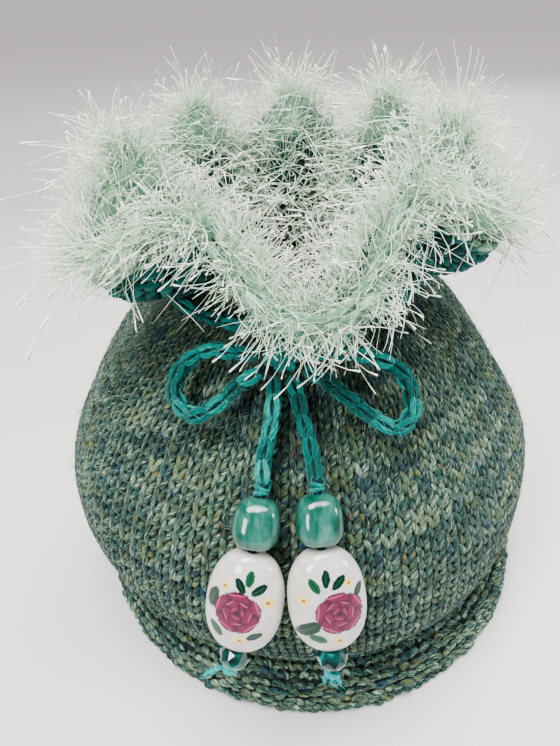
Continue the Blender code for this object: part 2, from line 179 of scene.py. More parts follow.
def on_scene(name, data):
    """An object of its own on the scene."""
    made = bpy.data.objects.new(name, data)
    bpy.context.scene.collection.objects.link(made)
    return made


def new_piece(name, mesh):
    """An object that rides on the cosy."""
    piece = on_scene(name, mesh)
    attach(piece, "root")
    return piece


def cloth_wall(name, first, last):
    """A closed thin wall of the cloth between two stations, parted along the slits."""
    stations = even_stations(first, last, BACKING_ROW)
    azimuths = np.linspace(0, 2 * pi, BACKING_COLUMNS + 1)
    layers = {}
    for side in (1, -1):
        here, _, _, normal = cloth_frame(azimuths[None, :], stations[:, None], side)
        for face, reach in (("outer", BACKING_OUTER), ("inner", BACKING_INNER)):
            layers[face, side] = here + normal * reach
            layers[face, side][..., 2] = np.maximum(layers[face, side][..., 2], 0.0)
    outer_left, outer_right = layers["outer", 1][:, :-1], layers["outer", -1][:, 1:]
    inner_left, inner_right = layers["inner", 1][:, :-1], layers["inner", -1][:, 1:]
    quads = [
        (outer_left[:-1], outer_right[:-1], outer_right[1:], outer_left[1:]),
        (inner_left[:-1], inner_left[1:], inner_right[1:], inner_right[:-1]),
        (outer_left[:1], inner_left[:1], inner_right[:1], outer_right[:1]),
        (outer_left[-1:], outer_right[-1:], inner_right[-1:], inner_left[-1:]),
    ]
    faces = [np.stack(quad, axis=2).reshape(-1, 4, 3) for quad in quads]
    heights = profile(stations)[0]
    for centre, low, high, _ in SLITS:
        parted = (heights > low) & (heights < high)
        rows = [row for row in range(len(heights) - 1) if parted[row] or parted[row + 1]]
        if not rows:
            continue
        starts, ends = np.array(rows), np.array(rows) + 1
        left_column = round(centre / (2 * pi) * BACKING_COLUMNS) % BACKING_COLUMNS
        for column, one_outer, one_inner in (
            (left_column, outer_left, inner_left),
            (left_column - 1, outer_right, inner_right),
        ):
            edge = np.stack(
                [one_outer[starts, column], one_outer[ends, column],
                 one_inner[ends, column], one_inner[starts, column]], axis=1
            )
            faces.append(edge)
    corners = np.concatenate(faces).reshape(-1, 3)
    mesh = bpy.data.meshes.new(name)
    mesh.from_pydata(corners.tolist(), [], np.arange(len(corners)).reshape(-1, 4).tolist())
    wall = bmesh.new()
    wall.from_mesh(mesh)
    bmesh.ops.remove_doubles(wall, verts=wall.verts, dist=WELD)
    bmesh.ops.recalc_face_normals(wall, faces=wall.faces)
    wall.to_mesh(mesh)
    wall.free()
    mesh.shade_smooth()
    return new_piece(name, mesh)


def node(tree, kind, links=None, **settings):
    """A node with its settings made and its inputs linked or set."""
    made = tree.nodes.new(kind)
    for name, value in settings.items():
        setattr(made, name, value)
    for socket, value in (links or {}).items():
        if isinstance(value, bpy.types.NodeSocket):
            tree.links.new(value, made.inputs[socket])
        else:
            made.inputs[socket].default_value = value
    return made


def ramp(tree, share, stops):
    """Colours read from a share along a row of stops."""
    made = node(tree, "ShaderNodeValToRGB", {"Fac": share})
    elements = made.color_ramp.elements
    elements.remove(elements[1])
    for index, (place, colour) in enumerate(stops):
        element = elements[0] if index == 0 else elements.new(place)
        element.position = place
        element.color = (*colour, 1.0)
    return made.outputs["Color"]


def blend(tree, share, first, second):
    """Two colours mixed by a share."""
    return node(tree, "ShaderNodeMix", {0: share, 6: first, 7: second}, data_type="RGBA").outputs[2]


def maths(tree, operation, first, second=0.0):
    """One step of arithmetic on shares."""
    return node(tree, "ShaderNodeMath", {0: first, 1: second}, operation=operation).outputs[0]


def mark(tree, name):
    """A number that the mesh carries on its points."""
    return node(tree, "ShaderNodeAttribute", attribute_name=name).outputs["Fac"]


def noise(tree, scale, detail, **more):
    """An uneven share from 0 to 1."""
    return node(tree, "ShaderNodeTexNoise", {"Scale": scale, "Detail": detail, **more}).outputs[0]


def raised(tree, shader, height, distance, strength, invert=False):
    """Lifts the surface a little where the share is high."""
    links = {"Height": height, "Distance": distance, "Strength": strength}
    bump = node(tree, "ShaderNodeBump", links, invert=invert)
    tree.links.new(bump.outputs[0], shader.inputs["Normal"])


def coloured(tree, shader, share, stops):
    """Gives the finish its colours, read from a share along a row of stops."""
    tree.links.new(ramp(tree, share, stops), shader.inputs["Base Color"])


def finish(name, **plain):
    """A material with its shader's plain sockets set, and the tree and shader to build on."""
    material = bpy.data.materials.new(name)
    material.use_nodes = True
    shader = material.node_tree.nodes["Principled BSDF"]
    for socket, value in plain.items():
        shader.inputs[socket.replace("_", " ")].default_value = value
    return material, material.node_tree, shader


def purl_backing(name, dark, light):
    """Rows of small loops, seen in the gaps between the stitches and on the cosy's inside."""
    material, tree, shader = finish(name, Roughness=0.95)
    place = node(tree, "ShaderNodeTexCoord").outputs["Object"]
    stretched = node(tree, "ShaderNodeMapping", {"Vector": place, "Scale": (1.0, 1.0, 1.5)}).outputs[0]
    loops = node(tree, "ShaderNodeTexVoronoi", {"Vector": stretched, "Scale": 330.0})
    grain = noise(tree, 900.0, 4.0, Vector=place)
    share = maths(tree, "ADD", loops.outputs["Distance"], maths(tree, "MULTIPLY", grain, 0.5))
    coloured(tree, shader, share, ((0.2, light), (0.8, dark)))
    raised(tree, shader, share, 0.0006, 0.9, invert=True)
    return material


cosy_cloth = cloth_wall("cosy_cloth", 0, TWEED_EDGE)
# Coloured darker than the tweed yarn: painted shade for the gaps between the stitches and the cosy's inside.
tweed_purl_side_painted_shade = purl_backing("tweed_purl_side_painted_shade", (0.008, 0.020, 0.020), (0.075, 0.115, 0.092))
cosy_cloth.data.materials.append(tweed_purl_side_painted_shade)
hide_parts("body")


# Stocking stitches
# Tweed wool in stocking stitch from the crease over the hem to the frill: a hundred columns of V's, each with
# a left and a right leg of softly spun yarn that comes up through the V below and tucks behind the one above.
STITCH_COLUMNS = 100
STITCH_WIDTH = 0.0046
STITCH_HEIGHT = 0.0031
STITCH_BASE = 0.0003
STITCH_DEPTH_KEPT = 0.45
LEG_LINE = ((0.10, -2.60, 0.10), (0.40, -1.75, 0.70), (0.86, -0.60, 1.08), (1.32, 0.62, 1.08),
            (1.74, 1.68, 0.68), (2.02, 2.50, 0.0))
LEG_WIDTHS = (0.0, 0.74, 1.00, 1.02, 0.80, 0.0)
LEG_DEPTH = 0.80
YARN_SIDES = 5
RUN_OF_COLOUR = 5
RUN_STRENGTH = 1.5
STRAY_SHADE = 0.16
WIDEST_STITCH = 1.5
PIECE_TRIANGLES = 195000
MILLIMETRE = 0.001
rng = np.random.default_rng(4)


def strand(line, widths, sides, depth=1.0, out=(0, 0, 1)):
    """A closed length of yarn along a line: points, faces and a UV of length along and share round."""
    line, widths = np.asarray(line, float), np.asarray(widths, float)
    forward = unit(np.gradient(line, axis=0))
    across = unit(np.cross(forward, np.asarray(out, float)))
    outward = np.cross(across, forward)
    lengths = np.concatenate([[0], np.cumsum(np.linalg.norm(np.diff(line, axis=0), axis=1))])
    angles = -pi / 2 + 2 * pi * np.arange(sides) / sides
    points, faces, uvs = [line[0]], [], []
    for centre, width, side_way, out_way in zip(line[1:-1], widths[1:-1], across[1:-1], outward[1:-1]):
        for angle in angles:
            points.append(centre + width * (cos(angle) * side_way + depth * sin(angle) * out_way))
    points.append(line[-1])
    rings = len(line) - 2
    for step in range(sides):
        after = (step + 1) % sides
        share, next_share = step / sides, (step + 1) / sides
        faces.append((0, 1 + after, 1 + step))
        uvs += [(lengths[0], share), (lengths[1], next_share), (lengths[1], share)]
        for ring in range(rings - 1):
            low, high = 1 + ring * sides, 1 + (ring + 1) * sides
            faces.append((low + step, low + after, high + after, high + step))
            near, far = lengths[ring + 1], lengths[ring + 2]
            uvs += [(near, share), (near, next_share), (far, next_share), (far, share)]
        last = 1 + (rings - 1) * sides
        faces.append((last + step, last + after, len(points) - 1))
        uvs += [(lengths[-2], share), (lengths[-2], next_share), (lengths[-1], share)]
    return np.array(points), faces, uvs


def smooth_mesh(name, points, faces):
    """A mesh of points and faces, shaded as one surface."""
    mesh = bpy.data.meshes.new(name)
    mesh.from_pydata(points.tolist(), [], faces)
    mesh.shade_smooth()
    return mesh


def set_marks(mesh, **marks):
    """Numbers for the finish on a mesh's points, one for all of them or one for each."""
    for name, values in marks.items():
        filled = np.full(len(mesh.vertices), values, float)
        mesh.attributes.new(name, "FLOAT", "POINT").data.foreach_set("value", filled)


def yarn_mesh(name, strands, marks=None):
    """Joins strands drawn in millimetres, with their UVs and a number for each strand on its points."""
    points, faces, uvs, side = [], [], [], []
    for index, (its_points, its_faces, its_uvs) in enumerate(strands):
        start = sum(len(one) for one in points)
        points.append(its_points * MILLIMETRE)
        faces += [tuple(corner + start for corner in face) for face in its_faces]
        uvs += its_uvs
        side += [marks[index] if marks is not None else 0.0] * len(its_points)
    mesh = smooth_mesh(name, np.concatenate(points), faces)
    layer = mesh.uv_layers.new(name="yarn")
    layer.data.foreach_set("uv", np.array(uvs, float).ravel())
    set_marks(mesh, side=side)
    mesh.update()
    return mesh


def spreading_tree():
    """Geometry Nodes that set a shape on each place, turned and sized by the places' own attributes."""
    tree = bpy.data.node_groups.new("Shapes set on places", "GeometryNodeTree")
    face = tree.interface
    for name, kind in (("Places", "Geometry"), ("Shape", "Object"), ("Finish", "Material"),
                       ("Turn jitter", "Float"), ("Size jitter", "Float"), ("Seed", "Int")):
        face.new_socket(name, in_out="INPUT", socket_type="NodeSocket" + kind)
    face.new_socket("Geometry", in_out="OUTPUT", socket_type="NodeSocketGeometry")
    given = node(tree, "NodeGroupInput").outputs
    shape = node(tree, "GeometryNodeObjectInfo", {"Object": given["Shape"]}).outputs["Geometry"]
    out, up, size = (
        node(tree, "GeometryNodeInputNamedAttribute", {"Name": name}, data_type="FLOAT_VECTOR").outputs[0]
        for name in ("out", "up", "size")
    )
    turn = node(tree, "FunctionNodeAxesToRotation", {"Primary Axis": out, "Secondary Axis": up},
                primary_axis="Z", secondary_axis="Y")
    least, most = (
        node(tree, "ShaderNodeVectorMath", {0: (sign, sign, sign), "Scale": given["Turn jitter"]},
             operation="SCALE").outputs[0]
        for sign in (-1.0, 1.0)
    )
    shake = node(tree, "FunctionNodeRandomValue", {"Min": least, "Max": most, "Seed": given["Seed"]},
                 data_type="FLOAT_VECTOR")
    shaken = node(tree, "FunctionNodeEulerToRotation", {0: shake.outputs[0]})
    turned = node(tree, "FunctionNodeRotateRotation", {0: turn.outputs[0], 1: shaken.outputs[0]},
                  rotation_space="LOCAL")
    swell = node(tree, "FunctionNodeRandomValue", {
        2: maths(tree, "SUBTRACT", 1.0, given["Size jitter"]),
        3: maths(tree, "ADD", 1.0, given["Size jitter"]), "Seed": given["Seed"],
    }, data_type="FLOAT")
    sized = node(tree, "ShaderNodeVectorMath", {0: size, "Scale": swell.outputs[1]}, operation="SCALE")
    placed = node(tree, "GeometryNodeInstanceOnPoints", {
        "Points": given["Places"], "Instance": shape,
        "Rotation": turned.outputs[0], "Scale": sized.outputs[0],
    })
    real = node(tree, "GeometryNodeRealizeInstances", {0: placed.outputs[0]}).outputs[0]
    painted = node(tree, "GeometryNodeSetMaterial", {"Geometry": real, "Material": given["Finish"]})
    result = node(tree, "NodeGroupOutput")
    tree.links.new(painted.outputs[0], result.inputs[0])
    return tree


spread_tree = spreading_tree()


def spread(name, shape, places, material, turn_jitter=0.0, size_jitter=0.0, seed=1):
    """Plain meshes of a shape set on places, in pieces that each stay under the most triangles."""
    each = sum(len(face.vertices) - 2 for face in shape.polygons)
    count = len(places["co"])
    parts = -(-count * each // PIECE_TRIANGLES)
    template = bpy.data.objects.new(name + "_shape", shape)
    pieces = []
    for index, chosen in enumerate(np.array_split(np.arange(count), parts)):
        label = name if parts == 1 else f"{name}_{index + 1}"
        mesh = bpy.data.meshes.new(label)
        mesh.vertices.add(len(chosen))
        mesh.vertices.foreach_set("co", places["co"][chosen].ravel())
        for key in ("out", "up", "size"):
            carried = mesh.attributes.new(key, "FLOAT_VECTOR", "POINT")
            carried.data.foreach_set("vector", places[key][chosen].ravel())
        set_marks(mesh, shade=places["shade"][chosen], fleck=places["fleck"][chosen])
        holder = on_scene(label + "_places", mesh)
        modifier = holder.modifiers.new("spread", "NODES")
        modifier.node_group = spread_tree
        values = {
            "Shape": template, "Finish": material, "Turn jitter": turn_jitter,
            "Size jitter": size_jitter, "Seed": seed + index,
        }
        for item in spread_tree.interface.items_tree:
            if item.item_type == "SOCKET" and item.in_out == "INPUT" and item.name in values:
                modifier[item.identifier] = values[item.name]
        bpy.context.view_layer.update()
        evaluated = holder.evaluated_get(bpy.context.evaluated_depsgraph_get())
        made = bpy.data.meshes.new_from_object(evaluated)
        made.name = label
        for key in ("out", "up", "size"):
            if key in made.attributes:
                made.attributes.remove(made.attributes[key])
        bpy.data.objects.remove(holder)
        bpy.data.meshes.remove(mesh)
        pieces.append(new_piece(label, made))
    bpy.data.objects.remove(template)
    return pieces


def places_at(co, out, up, size, dice):
    """Places for a spread, each with two shares for its finish that are drawn from the dice."""
    count = len(co)
    return {
        "co": co, "out": out, "up": up, "size": np.full((count, 3), size),
        "shade": dice.random(count), "fleck": dice.random(count),
    }


def stitch_places(azimuths, stations, base, width, height):
    """Places on the cloth for a grid of stitches, each sized to its own column and row."""
    azimuth, station = (grid.ravel() for grid in np.meshgrid(azimuths, stations[1:-1]))
    half_turn = (azimuths[1] - azimuths[0]) / 2
    here, _, upwards, normal = cloth_frame(azimuth, station)
    lower = np.repeat((stations[:-2] + stations[1:-1]) / 2, len(azimuths))
    upper = np.repeat((stations[1:-1] + stations[2:]) / 2, len(azimuths))
    wide = np.linalg.norm(cloth_middle(azimuth + half_turn, station, -1)
                          - cloth_middle(azimuth - half_turn, station, 1), axis=-1) / width
    tall = np.linalg.norm(cloth_middle(azimuth, upper) - cloth_middle(azimuth, lower), axis=-1) / height
    wide = np.minimum(wide, WIDEST_STITCH)
    deep = STITCH_DEPTH_KEPT + (1 - STITCH_DEPTH_KEPT) * wide
    count = len(azimuth)
    run = np.convolve(rng.random(count + RUN_OF_COLOUR - 1), np.ones(RUN_OF_COLOUR) / RUN_OF_COLOUR, "valid")
    shade = np.clip(0.5 + (run - 0.5) * RUN_STRENGTH + rng.normal(0, STRAY_SHADE, count), 0, 1)
    return {
        "co": here + normal * base, "out": normal, "up": upwards,
        "size": np.stack([wide, tall, deep], -1), "shade": shade, "fleck": rng.random(count),
    }


def spun_yarn_group():
    """Twisted fibres of a softly spun yarn, from its length along and share round."""
    tree = bpy.data.node_groups.new("Spun yarn", "ShaderNodeTree")
    face = tree.interface
    for name in ("Yarn", "Offset", "Twist", "Fineness"):
        kind = "Vector" if name == "Yarn" else "Float"
        face.new_socket(name, in_out="INPUT", socket_type="NodeSocket" + kind)
    for name in ("Streak", "Patch", "Height"):
        face.new_socket(name, in_out="OUTPUT", socket_type="NodeSocketFloat")
    given = node(tree, "NodeGroupInput").outputs
    parts = node(tree, "ShaderNodeSeparateXYZ", {0: given["Yarn"]}).outputs
    slant = maths(tree, "ADD", parts[1], maths(tree, "MULTIPLY", parts[0], given["Twist"]))
    across = maths(tree, "MULTIPLY", slant, given["Fineness"])
    along = maths(tree, "MULTIPLY", parts[0], 0.55)
    apart = maths(tree, "MULTIPLY", given["Offset"], 91.0)
    place = node(tree, "ShaderNodeCombineXYZ", {0: across, 1: along, 2: apart}).outputs[0]
    fibres = noise(tree, 1.0, 3.0, Vector=place, Roughness=0.62)
    broad = node(tree, "ShaderNodeMapping", {"Vector": place, "Location": (7.0, 3.0, 5.0),
                                             "Scale": (0.32, 0.9, 1.0)}).outputs[0]
    patches = noise(tree, 1.0, 2.0, Vector=broad)
    result = node(tree, "NodeGroupOutput")
    tree.links.new(fibres, result.inputs["Streak"])
    tree.links.new(patches, result.inputs["Patch"])
    tree.links.new(maths(tree, "ADD", fibres, maths(tree, "MULTIPLY", patches, 0.5)), result.inputs["Height"])
    return tree


spun_yarn = spun_yarn_group()


def yarn_finish(name, twist, fineness):
    """A wool material, with the masks of its spun fibres and its stitches' own shades."""
    material, tree, shader = finish(name, Roughness=0.88, Sheen_Weight=0.14, Sheen_Roughness=0.5)
    shader.inputs["Specular IOR Level"].default_value = 0.2
    yarn = node(tree, "ShaderNodeUVMap", uv_map="yarn").outputs[0]
    shade, fleck, leg = mark(tree, "shade"), mark(tree, "fleck"), mark(tree, "side")
    mixed = maths(tree, "ADD", maths(tree, "ADD", shade, fleck), maths(tree, "MULTIPLY", leg, 0.31))
    fibres = node(tree, "ShaderNodeGroup", {
        "Yarn": yarn, "Offset": mixed, "Twist": twist, "Fineness": fineness,
    }, node_tree=spun_yarn).outputs
    raised(tree, shader, fibres["Height"], 0.0003, 0.8)
    return material, tree, shader, fibres, shade, fleck


def tweed(name, painted_light_gain=1.0):
    """Sage and grey-green heather with cream-olive and blue-grey fibres, and flecks of brighter wool."""
    material, tree, shader, fibres, shade, fleck = yarn_finish(name, 0.16, 10.0)
    streak, tone = maths(tree, "MULTIPLY", fibres["Streak"], 2.1), maths(tree, "MULTIPLY", shade, 0.34)
    share = maths(tree, "SUBTRACT", maths(tree, "ADD", streak, tone), 0.72)
    colour = ramp(tree, share, (
        (0.14, (0.002, 0.008, 0.009)), (0.32, (0.009, 0.034, 0.033)), (0.44, (0.028, 0.070, 0.057)),
        (0.54, (0.054, 0.108, 0.078)), (0.64, (0.094, 0.146, 0.084)), (0.76, (0.170, 0.232, 0.165)),
        (0.94, (0.36, 0.43, 0.34)),
    ))
    for low, high, cover, strength, tint in (
        (0.00, 0.18, 0.46, 0.42, (0.030, 0.082, 0.115)),
        (0.18, 0.36, 0.47, 0.42, (0.130, 0.140, 0.045)),
        (0.36, 0.48, 0.48, 0.40, (0.008, 0.070, 0.070)),
        (0.92, 0.95, 0.53, 0.80, (0.004, 0.024, 0.085)),
        (0.95, 1.01, 0.55, 0.70, (0.010, 0.060, 0.110)),
        (0.89, 0.92, 0.54, 0.60, (0.006, 0.080, 0.085)),
        (0.84, 0.89, 0.56, 0.60, (0.230, 0.200, 0.035)),
        (0.82, 0.84, 0.58, 0.60, (0.140, 0.065, 0.025)),
    ):
        above, below = maths(tree, "GREATER_THAN", fleck, low), maths(tree, "LESS_THAN", fleck, high)
        worn = node(tree, "ShaderNodeMapRange", {
            "Value": fibres["Patch"], "From Min": cover, "From Max": cover + 0.08,
        }).outputs[0]
        covered = maths(tree, "MULTIPLY", worn, strength)
        covered = maths(tree, "MULTIPLY", covered, maths(tree, "MULTIPLY", above, below))
        colour = blend(tree, covered, colour, (*tint, 1.0))
    # A value above one lightens the whole tweed: painted light.
    if painted_light_gain != 1.0:
        colour = node(tree, "ShaderNodeHueSaturation", {"Color": colour, "Value": painted_light_gain}).outputs[0]
    tree.links.new(colour, shader.inputs["Base Color"])
    return material


right_leg = strand(LEG_LINE, LEG_WIDTHS, YARN_SIDES, LEG_DEPTH)
left_leg = strand([(-x, y, z) for x, y, z in LEG_LINE], LEG_WIDTHS, YARN_SIDES, LEG_DEPTH)
v_stitch = yarn_mesh("v_stitch", [left_leg, right_leg], marks=(0.0, 1.0))
stitch_rows = even_stations(CREASE - 0.4, TWEED_EDGE, STITCH_HEIGHT)
columns = (np.arange(STITCH_COLUMNS) + 0.5) * 2 * pi / STITCH_COLUMNS
tweed_yarn = tweed("tweed_yarn")
places = stitch_places(columns, stitch_rows, STITCH_BASE, STITCH_WIDTH, STITCH_HEIGHT)
stitches = spread("stocking_stitches", v_stitch, places, tweed_yarn, 0.05, 0.05, seed=3)


# Garter hem
# The lowest centimetre and a half, knitted in garter stitch in the same tweed, here painted lighter as
# painted light on the hem: rows of small rounded purl loops, every second row half a loop further on, drawn
# in by the crease over them.
PURL_WIDTH = 0.0029
PURL_HEIGHT = 0.0022
PURL_LINE = ((-1.42, -1.05, 0.0), (-1.20, -0.22, 0.66), (-0.62, 0.40, 1.08), (0.0, 0.58, 1.20),
             (0.62, 0.40, 1.08), (1.20, -0.22, 0.66), (1.42, -1.05, 0.0))
PURL_WIDTHS = (0.0, 0.78, 0.96, 1.02, 0.96, 0.78, 0.0)
PURL_STRAY = 0.00022
HEM_LOOPS = 142
purl_loop = yarn_mesh("purl_loop", [strand(PURL_LINE, PURL_WIDTHS, YARN_SIDES, 0.9)])


def purl_places(first, last, loops, base=0.0005):
    """Rows of purl loops, every second row half a loop further on."""
    rows = even_stations(first, last, PURL_HEIGHT)
    turns = (np.arange(loops) + 0.5) * 2 * pi / loops
    every = stitch_places(turns, rows, base, PURL_WIDTH, PURL_HEIGHT)
    shifted = stitch_places(turns + pi / loops, rows, base, PURL_WIDTH, PURL_HEIGHT)
    odd = np.repeat(np.arange(len(rows) - 2) % 2 == 1, loops)
    for key, values in every.items():
        values[odd] = shifted[key][odd]
    every["co"] = every["co"] + rng.normal(0, PURL_STRAY, every["co"].shape)
    return every


garter = purl_places(-0.1, CREASE + 0.25, HEM_LOOPS)
# The hem's tweed is painted lighter than the body's: painted light on the hem, which faces up and lies
# outside the frill's shade.
tweed_hem_painted_light = tweed("tweed_hem_painted_light", painted_light_gain=1.2)
hem_loops = spread("hem_loops", purl_loop, garter, tweed_hem_painted_light, 0.22, 0.14, seed=9)


# Loose fibres
# The wool is woollen spun, so short fibres stand off the stitches and soften every edge. They are set in
# small sprays all over the tweed, and the cord has its own, shorter and more crowded.
FUZZ_BASE = 0.0015
FUZZ_SPRAYS = 1250
FUZZ_HAIRS = 3
FUZZ_REACH = 5.0
HAIR_THICKNESS = 0.045
FUZZ_LOWEST = 0.8
fuzz_dice = np.random.default_rng(14)


def fuzz_spray(name, reach, hairs):
    """Fine hairs in millimetres that leave the origin, rise a little and curl along the surface."""
    made = []
    for _ in range(hairs):
        turn = fuzz_dice.uniform(0, 2 * pi)
        length = fuzz_dice.uniform(0.6, 1.0) * reach
        bow = fuzz_dice.normal(0, 0.28)
        lift = fuzz_dice.uniform(0.15, 0.38)
        t = np.array([0.0, 0.12, 0.45, 0.80, 1.0])
        along, aside = length * t, length * bow * t**2
        line = np.stack([along * cos(turn) - aside * sin(turn), along * sin(turn) + aside * cos(turn),
                         length * lift * np.sin(pi * np.minimum(0.85 * t, 0.6))], -1)
        made.append(strand(line, np.array([0, 1.0, 1.0, 0.8, 0]) * HAIR_THICKNESS, 3, 1.0))
    return yarn_mesh(name, made, marks=fuzz_dice.random(hairs))


def fuzz_finish(name, dark, pale):
    """Single fibres of wool, some dark and some pale."""
    material, tree, shader = finish(name, Roughness=0.75, Sheen_Weight=0.2, Sheen_Roughness=0.5)
    share = maths(tree, "ADD", mark(tree, "shade"), mark(tree, "side"))
    share = maths(tree, "MULTIPLY", maths(tree, "ADD", share, noise(tree, 700.0, 2.0)), 0.4)
    coloured(tree, shader, share, ((0.40, dark), (0.75, pale)))
    return material


tweed_fuzz = fuzz_finish("tweed_loose_fibres", (0.030, 0.065, 0.055), (0.27, 0.31, 0.24))
turns = fuzz_dice.uniform(0, 2 * pi, FUZZ_SPRAYS)
heights = fuzz_dice.choice(even_stations(FUZZ_LOWEST, TWEED_EDGE, 0.0005), FUZZ_SPRAYS)
here, _, upwards, normal = cloth_frame(turns, heights)
any_way = unit(upwards + fuzz_dice.normal(0, 1.0, (FUZZ_SPRAYS, 3)))
spray_places = places_at(here + normal * FUZZ_BASE, normal, any_way, 1.0, fuzz_dice)
tweed_spray = fuzz_spray("tweed_spray", FUZZ_REACH, FUZZ_HAIRS)
tweed_hairs = spread("tweed_loose_fibres", tweed_spray, spray_places, tweed_fuzz, 0.2, 0.2, seed=15)


# Teal band
# Three or four rows in plain teal wool, knitted on above the tweed, which flare out into the flutes of the
# frill. Its ribbed underside shows below the fur at each flute.
BAND_LOOPS = 92
band_cloth = cloth_wall("band_cloth", TWEED_EDGE, BAND_EDGE)
# The band's purl side is coloured darker than the teal yarn: painted shade for the gaps between its loops and
# its inner face.
band_cloth.data.materials.append(purl_backing("teal_purl_side_painted_shade", (0.002, 0.020, 0.020), (0.012, 0.11, 0.10)))
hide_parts("frill_band")


def plain_yarn(name, stops, twist, fineness):
    """A wool of one dye, uneven from fibre to fibre and from stitch to stitch."""
    material, tree, shader, fibres, shade, _ = yarn_finish(name, twist, fineness)
    uneven = maths(tree, "MULTIPLY", maths(tree, "SUBTRACT", shade, 0.5), 0.35)
    coloured(tree, shader, maths(tree, "ADD", fibres["Streak"], uneven), stops)
    return material


BAND_TOP = BAND_EDGE + 1.3
teal_yarn = plain_yarn("teal_yarn", (
    (0.25, (0.001, 0.020, 0.020)), (0.48, (0.003, 0.072, 0.065)), (0.62, (0.009, 0.140, 0.120)),
    (0.80, (0.06, 0.27, 0.23)),
), 0.12, 14.0)
band_places = purl_places(TWEED_EDGE - 0.7, BAND_TOP, BAND_LOOPS)
band_loops = spread("band_loops", purl_loop, band_places, teal_yarn, 0.10, 0.10, seed=21)


# Fur edging
# The last rows, in pale mint eyelash yarn. A thin knitted strip carries bunches of long fine fibres, many
# with a flat cut tip, which stand out all round the rim and fall over the neck at the front.
EDGING_LOOPS = 104
OUTER_FOCUS = 0.095
RIM_FOCUS = 0.060
FRONT_SAG = 0.85
FRONT_MIDDLE = radians(-92)
FRONT_HALF = radians(66)
FIBRE_SIDES = 3
FIBRE_LENGTHS = (7.5, 15.0)
FIBRE_WIDTHS = (0.10, 0.15)
FLARED_SHARE = 0.6
FLARED_TIPS = (0.26, 0.40)
PLAIN_TIP = 0.08
FIBRE_ROOT = 0.0012
BOUND_OFF_SIZE = (0.9, 0.50, 0.30)
WISP_FIBRES = 6
WISP_KINDS = 8
RIM_TUFTS = 500
DEEP_FUR_LONGER = 0.35
edging_cloth = cloth_wall("edging_cloth", BAND_EDGE, RIM)
edging_cloth.data.materials.append(purl_backing("mint_purl_side", (0.12, 0.24, 0.16), (0.34, 0.50, 0.36)))
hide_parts("fur_edging")
mint_yarn = plain_yarn("mint_yarn", (
    (0.25, (0.08, 0.19, 0.12)), (0.48, (0.22, 0.40, 0.27)), (0.70, (0.42, 0.60, 0.44)),
    (0.85, (0.70, 0.82, 0.66)),
), 0.12, 14.0)
edging_places = purl_places(BAND_TOP - 0.5, RIM + 0.25, EDGING_LOOPS, 0.0008)
turns = (np.arange(EDGING_LOOPS) + 0.5) * 2 * pi / EDGING_LOOPS
for shift, way in ((0.0, 1), (pi / EDGING_LOOPS, -1)):
    here, _, upwards, normal = cloth_frame(turns + shift, np.full(EDGING_LOOPS, RIM))
    base = here + normal * (0.0004 * way - 0.0004) - upwards * 0.0006
    bound_off = places_at(base, upwards, normal * way, BOUND_OFF_SIZE, rng)
    edging_places = {key: np.concatenate([edging_places[key], bound_off[key]]) for key in edging_places}
edging_loops = spread("edging_loops", purl_loop, edging_places, mint_yarn, 0.15, 0.15, seed=31)


def wisp(seed):
    """One bunch of fibres in millimetres, rooted at the origin, out along Z and falling towards -Y."""
    dice = np.random.default_rng(seed)
    fibres = []
    fan = dice.uniform(0.18, 0.62)
    for _ in range(WISP_FIBRES):
        length = dice.uniform(*FIBRE_LENGTHS)
        bend = dice.normal(0, 0.60, 2) + (0.0, -0.38)
        lean = dice.normal(0, fan, 2) - 0.55 * bend
        curl = dice.normal(0, 0.040, 2)
        root = dice.normal(0, 0.9, 2)
        flared = dice.random() < FLARED_SHARE
        t = np.array([0.0, 0.10, 0.36, 0.62, 0.86, 0.985, 1.0])
        line = np.stack([
            root[0] + length * (lean[0] * t + bend[0] * t**2 + curl[0] * np.sin(6.0 * t)),
            root[1] + length * (lean[1] * t + bend[1] * t**2 + curl[1] * np.sin(5.0 * t)),
            length * t * (1.0 - 0.10 * t),
        ], -1)
        thick = dice.uniform(*FIBRE_WIDTHS)
        tip = dice.uniform(*FLARED_TIPS) if flared else PLAIN_TIP
        widths = (0.0, thick, thick, thick, thick, tip, 0.0)
        turn = dice.uniform(0, 2 * pi)
        fibres.append(strand(line, widths, FIBRE_SIDES, 0.35, (cos(turn), sin(turn), 0.15)))
    return yarn_mesh(f"wisp_{seed}", fibres, marks=dice.random(WISP_FIBRES))


def wisp_places(azimuths, station, focus, side, jitter):
    """Roots of the bunches along one row.

    Outer ones point away from a focus on the cosy's axis, and inner ones up and inwards, by as much as the
    focus says.
    """
    count = len(azimuths)
    azimuth = azimuths + rng.normal(0, jitter, count)
    stations = np.minimum(station + rng.normal(0, 0.22, count), RIM)
    here, _, _, normal = cloth_frame(azimuth, stations)
    root = here + normal * side * FIBRE_ROOT
    away = unit(root - np.array([BODY_LEAN, 0.0, focus]))
    off_front = (azimuth - FRONT_MIDDLE + pi) % (2 * pi) - pi
    front = np.cos(np.clip(off_front / FRONT_HALF, -1, 1) * pi / 2)
    if side > 0:
        away[:, 2] -= FRONT_SAG * front
    else:
        inward = -unit((root - np.array([BODY_LEAN, 0.0, 0.0])) * (1, 1, 0))
        reach = rng.uniform(0.35 * focus - 0.35, focus, (count, 1))
        away = unit(inward * reach + np.array([0.0, 0.0, 0.8]))
    away = unit(away + rng.normal(0, 0.24, (count, 3)))
    scale = rng.uniform(0.85, 1.12, count) * (1 - 0.18 * front)
    if side < 0:
        scale = scale * (1 + DEEP_FUR_LONGER * np.clip((RIM - 2 - station) / 4, 0, 1))
    return places_at(root, away, np.tile((0.0, 0.0, 1.0), (count, 1)), scale[:, None], rng)


